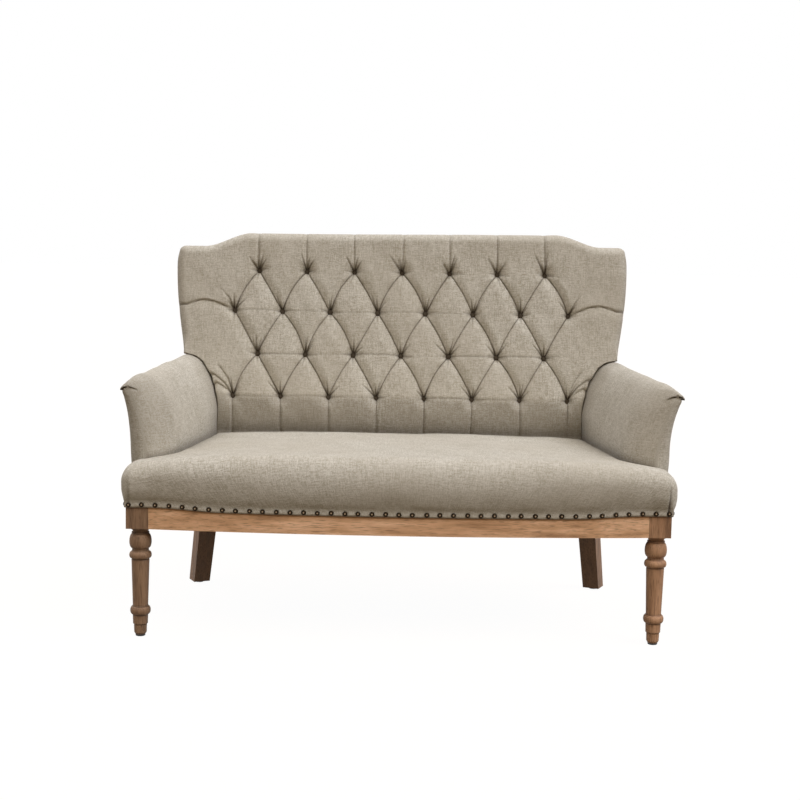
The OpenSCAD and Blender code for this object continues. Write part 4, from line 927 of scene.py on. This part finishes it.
def back_grid(row_v):
    """Points across and up the flat pad: level rows up to the top buttons, then rows that meet the crest."""
    inner = np.arange(-(WIDE_N - 1) * FINE, (WIDE_N - 1) * FINE + 1) * PITCH / (2 * FINE)

    def across(half):
        edge = lerp(LAST_X, half, np.arange(1, EDGE_COLS + 1) / EDGE_COLS)
        return np.concatenate([-edge[::-1], inner, edge])

    rows = [joined(across(edge_half(v) - edge_roll(v)), v) for v in row_v]
    for t in np.arange(1, TOP_ROWS + 1) / TOP_ROWS:
        x = across(back_half(lerp(ROW_V[3], SHOULDER_V - PAD_ROLL, t)) - PAD_ROLL)
        rows.append(joined(x, lerp(ROW_V[3], top_v(x) - PAD_ROLL, t)))
    return np.array(rows)


def roll_edge(x, v, on_top, on_low, corner):
    """The outer line of the pad's roll for points of its rim, with both shoulders' corners rounded."""
    half = np.abs(x)
    meet = np.array([CORNER_X, CORNER_V]) + SHOULDER_R * math.sqrt(0.5) - corner
    side_v = v + limit((v - corner[1]) / SHOULDER_EASE + 1) ** 2 * meet[1]
    side_x_out = np.where(side_v > CORNER_V, CORNER_X + SHOULDER_R - round_off(side_v - CORNER_V, SHOULDER_R),
                          np.minimum(back_half(side_v),
                                     half + edge_roll(side_v) + ABOVE_ARMS * (side_v > ARM_V)))
    top_x = half + limit((half - corner[0]) / SHOULDER_EASE + 1) ** 2 * meet[0]
    top_v_out = np.where(top_x > CORNER_X, CORNER_V + SHOULDER_R - round_off(top_x - CORNER_X, SHOULDER_R),
                         top_v(top_x))
    low_x = half * (1 + PAD_ROLL / half.max())
    return joined(np.sign(x) * np.select([on_top, on_low], [top_x, low_x], side_x_out),
                  np.select([on_top, on_low], [top_v_out, np.full_like(v, PAD_LOW_V)], side_v))


def make_back():
    tuft_b = np.arange(3 * FINE + 1) / FINE
    row_b = np.concatenate([np.zeros(LOW_ROWS), tuft_b, np.full(TOP_ROWS, 3.0)])
    low_v = lerp(PAD_LOW_V, ROW_V[0], np.arange(LOW_ROWS) / LOW_ROWS)
    grid = back_grid(np.append(low_v, np.interp(tuft_b, range(4), ROW_V)))
    m, n = grid.shape[:2]
    x, v = grid[..., 0], grid[..., 1]
    depth, dx, dv, shade = sunk(x, v)
    fade = np.ones(x.shape)
    fade[0, :] = fade[:, 0] = fade[:, -1] = 0
    # below the lowest buttons the pad draws back towards the seat, and painted shade grows towards it
    draw_v = ROW_V[0] + LOW_DRAW_UP
    low = np.clip((draw_v - v) / (draw_v - v_of(SEAT_TOP, CREST_W)), 0, LOW_DRAW_MOST)
    shade = np.maximum(shade, LOW_DIM * ramp(low, 0, LOW_DIM_RUN) + LOW_DARK * low ** 3)
    w = np.maximum(CREST_W - LOW_DRAW * low ** LOW_DRAW_POWER - depth, BUTTON_W)
    w = w + BACK_UNEVEN * uneven(x, v, BACK_RIPPLES)
    x2, v2 = x + dx * fade, v + dv * fade
    rim = rim_ids(n, m)
    rim_x, rim_v, rim_w, rim_depth, rim_shade = [part.ravel()[rim] for part in (x2, v2, w, depth, shade)]
    on_low = rim // n == 0
    flat = joined(rim_x, rim_v)
    way = roll_edge(rim_x, rim_v, rim // n == m - 1, on_low, grid[-1, -1]) - flat
    loops, uvs, shades = [], [grid.reshape(-1, 2)], [shade.ravel()]
    for k, a in enumerate(ROLL_ANGLES):
        dip = rim_depth * math.sin(a) * (1 - ROLL_EASE * a / (math.pi / 2)) * ~on_low
        at = flat + way * math.sin(a) - unit(way) * dip[:, None]
        loops.append(on_back(at[:, 0], at[:, 1], FOAM_W + (rim_w - FOAM_W) * math.cos(a)))
        uvs.append(flat + unit(way) * (ROLL_CLOTH * a))
        # painted shade of the rim, lessening over the roll
        shades.append(rim_shade * (1 - ROLL_EASE * k / len(ROLL_ANGLES)))
    # each square is cut along the fold that it is nearest to
    mid_x = (x[1:, 1:] + x[:-1, :-1]) / 2 / PITCH + 0.5
    mid_b = (row_b[1:] + row_b[:-1])[:, None] / 4
    s, t = mid_x + mid_b, mid_x - mid_b
    falls = np.abs(s - np.round(s)) < np.abs(t - np.round(t))
    quads = grid_quads(n, m).reshape(m - 1, n - 1, 4)
    q, p = quads[falls], quads[~falls]
    faces = [q[:, [0, 1, 3]], q[:, [1, 2, 3]], p[:, [0, 1, 2]], p[:, [0, 2, 3]]]
    middle = on_back(0, BACK_V / 2, FOAM_W)
    add_cover("inside_back_upholstery", np.vstack([on_back(x2, v2, w).reshape(-1, 3)] + loops + [middle]),
              faces + skirt(rim, n * m, len(loops)), ["inside_back_cover", "back_foam"],
              np.vstack(uvs + [[0, BACK_V / 2]]), np.concatenate(shades + [[0.0]]))


def back_outline():
    """The back's outline from its lower right corner, over the top, to its lower left."""
    low_v = -HEM_LAP_END / LEAN_C - 4
    side_v = np.append(np.linspace(low_v, ARM_V - 1, 60), np.linspace(ARM_V + 1, CORNER_V, 60))
    turn = np.linspace(0, math.pi / 2, 9)[1:-1]
    top_x = np.linspace(CORNER_X, 0, 90)
    right = np.vstack([joined(back_half(side_v), side_v),
                       joined(CORNER_X + SHOULDER_R * np.cos(turn), CORNER_V + SHOULDER_R * np.sin(turn)),
                       joined(top_x, top_v(top_x))])
    return np.vstack([right, (right * [-1, 1])[-2::-1]])


# The band over the back's edge: the share of its width before each line, and how far out it stands
BAND_SECTION = ((0.0, -COVER_T), (0.0, -0.6), (0.03, 0.0), (0.2, -0.5), (0.5, -0.9), (0.8, -0.5), (0.97, 0.0),
                (1.0, -0.6), (1.0, -COVER_T))


def make_border():
    """The band of cloth over the edge of the back, from the pad's edge to the outside back."""
    line = back_outline()
    tangent = np.gradient(line, axis=0)
    out = unit(joined(tangent[:, 1], -tangent[:, 0]))
    front_w = np.where(line[:, 1] < ARM_V, -GAP, FOAM_W - GAP)
    rows, uvs = [], []
    for share, rise in BAND_SECTION:
        at = line + out * rise
        w = lerp(front_w, -BACK_FRAME_T - GAP, share)
        rows.append(on_back(at[:, 0], at[:, 1], w))
        uvs.append(joined(run_along(line), w + rise))
    points = np.vstack(rows)
    points[:, 2] = np.maximum(points[:, 2], RAIL_TOP - HEM_LAP_END)
    ids = np.arange(len(points)).reshape(len(rows), len(line))
    faces = [band(a, b, False) for a, b in zip(ids, np.roll(ids, -1, axis=0))]
    faces += [[ids[:, 0]], [ids[:, -1]]]
    add_cover("back_edge_band", points, faces, ["back_border"], np.vstack(uvs))


# The outside back: how its rows crowd towards the crest, the reach of its top row past the corner's centre,
# its distance to the edge per row and column, its swell, and the depth and run of its seam
PANEL_CROWD, PANEL_TOP_REACH, ROW_REACH, COL_REACH = 1.15, 12.7, 8.0, 590
PANEL_RIPPLES, RIPPLE_RUN = ((0.5, 160.0, 51),), 40
PANEL_SWELL, SWELL_RUN, SEAM_DEEP, SEAM_RUN = 1.4, 60, 2.0, 6


def make_outside_back():
    """The flat panel behind, drawn in at its sewn edge, with its lap over the rear rail."""
    lap, rows, n = 5, 81, 121
    f = np.linspace(-1, 1, n)
    rear_w = -BACK_FRAME_T - 2 * GAP - COVER_T
    v_low = v_of(RAIL_TOP, rear_w)
    places, uvs = [], []
    for drop in HEM_LAP_END * np.arange(-lap, 0) / lap:
        x = f * back_half(0.0)
        places.append(joined(x, FRAME_D + (GAP + COVER_T) / LEAN_C, RAIL_TOP + drop))
        uvs.append(joined(x, v_low + drop))
    for t in 1 - (1 - np.linspace(0, 1, rows)) ** PANEL_CROWD:
        x = f * (back_half(lerp(v_low, CORNER_V, t)) if t < 1 else CORNER_X + PANEL_TOP_REACH)
        roof = top_v(x) - round_off(np.clip(np.abs(x) - CORNER_X, 0, SHOULDER_R), SHOULDER_R)
        v = lerp(v_low, roof, t)
        places.append(on_back(x, v, rear_w))
        uvs.append(joined(x, v))
    flat, uv = np.array(places), np.array(uvs)
    m = len(flat)
    down = np.arange(m)[:, None]
    edge = np.minimum(np.minimum(down, m - 1 - down) * ROW_REACH, (1 - np.abs(f)) * COL_REACH)
    soft = uneven(uv[..., 0], uv[..., 1], PANEL_RIPPLES) * ramp(edge, 0, RIPPLE_RUN)
    swell = PANEL_SWELL * ramp(edge, 0, SWELL_RUN) + soft - SEAM_DEEP * (1 - ramp(edge, 0, SEAM_RUN))
    out = np.array([0, LEAN_C, -LEAN_S])
    points = np.vstack([(flat + out * swell[..., None]).reshape(-1, 3),
                        (flat - out * (COVER_T - 0.1)).reshape(-1, 3)])
    rim = rim_ids(n, m)
    faces = [grid_quads(n, m), grid_quads(n, m, n * m), band(rim, rim + n * m)]
    add_cover("outside_back_panel", points, faces, ["outside_back_cover"], np.vstack([uv.reshape(-1, 2)] * 2))


# What repeats: one shape stood on many spots
def turned_shape(name, radius, profile, sides):
    """A closed dome turned round +Z from a profile of shares of its radius and heights."""
    turn = 2 * math.pi * np.arange(sides) / sides
    rings = [joined(radius * r * np.cos(turn), radius * r * np.sin(turn), h) for r, h in profile[1:-1]]
    points = np.vstack([(0, 0, profile[0][1])] + rings + [(0, 0, profile[-1][1])]) / 1000
    ids = [1 + j * sides + np.arange(sides) for j in range(len(rings))]
    faces = [band(a, b) for a, b in zip(ids, ids[1:])]
    faces += [fan(ids[0][::-1], 0), fan(ids[-1], len(points) - 1)]
    mesh = smooth_mesh(name, points, faces)
    # each point's share of the dome's height, which places the nail heads' painted highlight
    heights = points[:, 2] / points[:, 2].max()
    mesh.attributes.new("rubbed", "FLOAT", "POINT").data.foreach_set("value", heights.astype(np.float32))
    return put(name, mesh)


SPOT_INPUTS = {"Spots": "Geometry", "Shape": "Object", "Size": "Float", "Spread": "Float", "Tilt": "Float",
               "Seed": "Int", "Finish": "Material"}
SPOT_NODES = {
    "in": ("NodeGroupInput", {}), "out": ("NodeGroupOutput", {}),
    "points": ("GeometryNodeMeshToPoints", {}), "shape": ("GeometryNodeObjectInfo", {}),
    "facing": ("GeometryNodeInputNamedAttribute", {"data_type": "FLOAT_VECTOR"}),
    "align": ("FunctionNodeAlignRotationToVector", {"axis": "Z"}),
    "least turn": ("ShaderNodeVectorMath", {"operation": "SCALE"}),
    "most turn": ("ShaderNodeVectorMath", {"operation": "SCALE"}),
    "turns": ("FunctionNodeRandomValue", {"data_type": "FLOAT_VECTOR"}),
    "angles": ("FunctionNodeEulerToRotation", {}),
    "turned": ("FunctionNodeRotateRotation", {"rotation_space": "LOCAL"}),
    "least size": ("ShaderNodeMath", {"operation": "SUBTRACT"}),
    "most size": ("ShaderNodeMath", {"operation": "ADD"}),
    "sizes": ("FunctionNodeRandomValue", {}), "stand": ("GeometryNodeInstanceOnPoints", {}),
    "real": ("GeometryNodeRealizeInstances", {}), "paint": ("GeometryNodeSetMaterial", {}),
}
# each node's sockets, with the node and the output that feed them
SPOT_LINKS = {
    "points": {"Mesh": ("in", "Spots")}, "shape": {"Object": ("in", "Shape")},
    "align": {"Vector": ("facing", "Attribute")}, "angles": {0: ("turns", 0)},
    "least turn": {"Scale": ("in", "Tilt")}, "most turn": {"Scale": ("in", "Tilt")},
    "turns": {"Min": ("least turn", 0), "Max": ("most turn", 0), "Seed": ("in", "Seed")},
    "turned": {"Rotation": ("align", 0), "Rotate By": ("angles", 0)},
    "least size": {0: ("in", "Size"), 1: ("in", "Spread")},
    "most size": {0: ("in", "Size"), 1: ("in", "Spread")},
    "sizes": {2: ("least size", 0), 3: ("most size", 0), "Seed": ("in", "Seed")},
    "stand": {"Points": ("points", 0), "Instance": ("shape", "Geometry"), "Rotation": ("turned", 0),
              "Scale": ("sizes", 1)},
    "real": {0: ("stand", 0)}, "paint": {0: ("real", 0), "Material": ("in", "Finish")},
    "out": {0: ("paint", 0)},
}


def spot_tree():
    """Geometry Nodes: the shape stands on each spot along its facing, turned and sized a little by chance."""
    tree = bpy.data.node_groups.new("shape_on_spots", "GeometryNodeTree")
    for label, kind in SPOT_INPUTS.items():
        tree.interface.new_socket(label, in_out="INPUT", socket_type="NodeSocket" + kind)
    tree.interface.new_socket("Studs", in_out="OUTPUT", socket_type="NodeSocketGeometry")
    nodes = {}
    for label, (kind, settings) in SPOT_NODES.items():
        nodes[label] = tree.nodes.new(kind)
        for setting, value in settings.items():
            setattr(nodes[label], setting, value)
    nodes["facing"].inputs["Name"].default_value = "facing"
    nodes["least turn"].inputs[0].default_value = (-1, -1, -60)
    nodes["most turn"].inputs[0].default_value = (1, 1, 60)
    for label, feeds in SPOT_LINKS.items():
        for socket, (source, output) in feeds.items():
            tree.links.new(nodes[source].outputs[output], nodes[label].inputs[socket])
    return tree


SPOT_TREE = spot_tree()


def stand_on_spots(name, shape, spots, facing, finish, replaced, seed, spread=0.03, tilt=0.03):
    """One mesh of the shape on every spot, riding on the frame."""
    mesh = bpy.data.meshes.new(name + "_spots")
    mesh.from_pydata(place(spots).tolist(), [], [])
    layer = mesh.attributes.new("facing", "FLOAT_VECTOR", "POINT")
    layer.data.foreach_set("vector", np.asarray(facing, np.float32).ravel())
    carrier = put(name + "_spots", mesh)
    modifier = carrier.modifiers.new("spots", "NODES")
    modifier.node_group = SPOT_TREE
    wanted = {"Shape": shape, "Size": 1.0, "Spread": spread, "Tilt": tilt, "Seed": seed, "Finish": finish}
    for item in SPOT_TREE.interface.items_tree:
        if item.in_out == "INPUT" and item.name in wanted:
            modifier[item.identifier] = wanted[item.name]
    bpy.context.view_layer.update()
    evaluated = carrier.evaluated_get(bpy.context.evaluated_depsgraph_get())
    made = bpy.data.meshes.new_from_object(evaluated)
    made.name = name
    carrier.modifiers.clear()
    bpy.data.objects.remove(carrier)
    fit(put(name, made), replaced)


NAIL_STRAY, NAIL_LIFT = 1.2, 0.6  # how far a front nail may stand off its even place


def make_nails():
    profile = ((0, 0), (0.97, 0), (1, 0.35), (0.93, 1.3), (0.78, 2.2), (0.55, 2.95), (0.28, 3.4),
               (0, NAIL_DOME))
    dome = turned_shape("nail_head", NAIL_R, profile, 16)
    draw = np.random.default_rng(3)
    end_x = HALF_W - NAIL_INSET
    stray = draw.uniform(-NAIL_STRAY, NAIL_STRAY, FRONT_NAILS - 2)
    x = np.linspace(-end_x, end_x, FRONT_NAILS) + np.r_[0, stray, 0]
    slope = np.where(np.abs(x) < RAIL_HALF, x / BOW_R, 0)
    lift = draw.uniform(-NAIL_LIFT, NAIL_LIFT, len(x))
    spots = joined(x, front_y(x) - ARM_OUT - GAP, hem_z(x) + NAIL_INSET + lift)
    facing = joined(slope, -np.sqrt(1 - slope ** 2), 0)
    stand_on_spots("front_nails", dome, spots, facing, BRONZE, ["nail_trim_front"], seed=2)
    y = np.linspace(NAIL_INSET, BACK_Y0 - NAIL_INSET, SIDE_NAILS)
    angle = math.atan(SIDE_FALL / SIDE_RUN) * (y > BLOCK_W)
    for side, end in ((-1, "left"), (1, "right")):
        spots = joined(side * (side_x(y) + ARM_OUT + GAP), y, RAIL_TOP - HEM_LAP_END + NAIL_INSET)
        facing = joined(side * np.cos(angle), np.sin(angle), 0)
        stand_on_spots("side_nails_" + end, dome, spots, facing, BRONZE, ["nail_trim_" + end],
                       seed=4 + side)
    bpy.data.objects.remove(dome)


def make_buttons():
    profile = ((0, 0), (0.5, 2.72), (0.9, 4.4), (1, 5.44), (0.97, 6.34), (0.85, 7.44), (0.62, 8.34),
               (0.32, 8.84), (0, 9.04))
    cap = turned_shape("covered_button", BUTTON_R, profile, 24)
    spots = [on_back(x, v, BUTTON_W + GAP) for x, v, _ in BUTTONS]
    facing = [(0, -LEAN_C, LEAN_S)] * len(spots)
    stand_on_spots("covered_buttons", cap, spots, facing, BUTTON_LINEN_PAINTED_SHADE, ["tuft_buttons"], seed=9,
                   spread=0.04, tilt=0.09)
    bpy.data.objects.remove(cap)


# Studio
AMBIENT, BOUNCE = 0.17, (1.0, 0.75, 0.50)
FLOOR_MATT, FLOOR_GLOW, FLOOR_SHARE, FLOOR_REACH = (0.12, 0.09, 0.055), 1.62, 0.6, 60.0
WHITE = (1, 1, 1)
COOL = (0.957, 0.985, 1.08)
# name, direction towards the lamp, spread in degrees, level and colour
SUNS = (("key", (0.60, -0.28, 0.75), 40.0, 0.715, COOL), ("fill", (-0.50, -0.10, 0.86), 75.0, 0.44, COOL),
        ("rear", (-0.30, 0.92, 0.26), 70.0, 0.30, (1.0, 0.98, 0.94)),
        ("front", (0.12, -0.70, 0.70), 16.0, 0.21, (1.0, 0.90, 0.72)))
CAMERA_AT, LENS = (-21.19, -3401.35, 934.93), 65.5
YAW, TILT, ROLL = 0.0054, -0.1029, 0.0187  # radians


def stand_at(item, x, y, z, at):
    """Turns an object to three axes at a place in metres."""
    item.matrix_world = Matrix([[x[k], y[k], z[k], at[k]] for k in range(3)] + [[0, 0, 0, 1]])


def where_seen(nodes):
    """1 for camera, glossy and transmission rays, and 0 for the rest."""
    rays = ("Is Camera Ray", "Is Glossy Ray", "Is Transmission Ray")
    seen, *others = [nodes.add("LightPath", out=ray) for ray in rays]
    for ray in others:
        seen = seen.math("MAXIMUM", ray)
    return seen


def sun(name, toward, spread, level, colour):
    """A soft sun whose level is what it gives a white face turned to it."""
    lamp = bpy.data.lights.new(name, "SUN")
    lamp.angle, lamp.energy, lamp.color = math.radians(spread), math.pi * level, colour
    z = unit(np.array(toward))
    x = unit(np.cross((0, 0, 1), z))
    stand_at(put(name, lamp), x, np.cross(z, x), z, 3 * z)


def make_studio():
    scene = bpy.context.scene
    scene.view_settings.view_transform = "Standard"
    scene.world = bpy.data.worlds.new("studio")
    scene.world.use_nodes = True
    sky = Nodes(scene.world.node_tree)
    background = sky.tree.nodes["Background"].inputs
    seen = where_seen(sky)
    sky.feed(background["Strength"], lerp(AMBIENT, 1.0, seen))
    sky.feed(background["Color"], sky.mix(seen, BOUNCE, WHITE))
    mesh = bpy.data.meshes.new("floor")
    corners = [(FLOOR_REACH * x, FLOOR_REACH * y, 0) for x, y in ((-1, -1), (1, -1), (1, 1), (-1, 1))]
    mesh.from_pydata(corners, [], [(0, 1, 2, 3)])
    paint = Finish("studio_floor")
    matt = paint.add("BsdfDiffuse", {}, {"Color": (*FLOOR_MATT, 1)})
    glow = paint.add("Emission", {}, {"Color": (*WHITE, 1), "Strength": FLOOR_GLOW})
    mixed = paint.add("MixShader", {}, {0: where_seen(paint) * FLOOR_SHARE, 1: matt, 2: glow})
    paint.feed(paint.tree.nodes["Material Output"].inputs[0], mixed)
    paint.tree.nodes.remove(paint.shader)
    mesh.materials.append(paint.material)
    put("floor", mesh)
    for lamp in SUNS:
        sun(*lamp)


def make_camera():
    level = np.array([math.cos(YAW), -math.sin(YAW), 0])
    forward = np.array([math.sin(YAW) * math.cos(TILT), math.cos(YAW) * math.cos(TILT),
                        math.sin(TILT)])
    rise = np.cross(level, forward)
    right = math.cos(ROLL) * level + math.sin(ROLL) * rise
    up = -math.sin(ROLL) * level + math.cos(ROLL) * rise
    lens = bpy.data.cameras.new("camera")
    lens.sensor_width = 36
    lens.lens = LENS
    camera = put("camera", lens)
    stand_at(camera, right, up, -forward, place(CAMERA_AT))
    bpy.context.scene.camera = camera


make_arm(1)
make_arm(-1)
make_seat()
make_back()
make_border()
make_outside_back()
make_nails()
make_buttons()
make_studio()
make_camera()
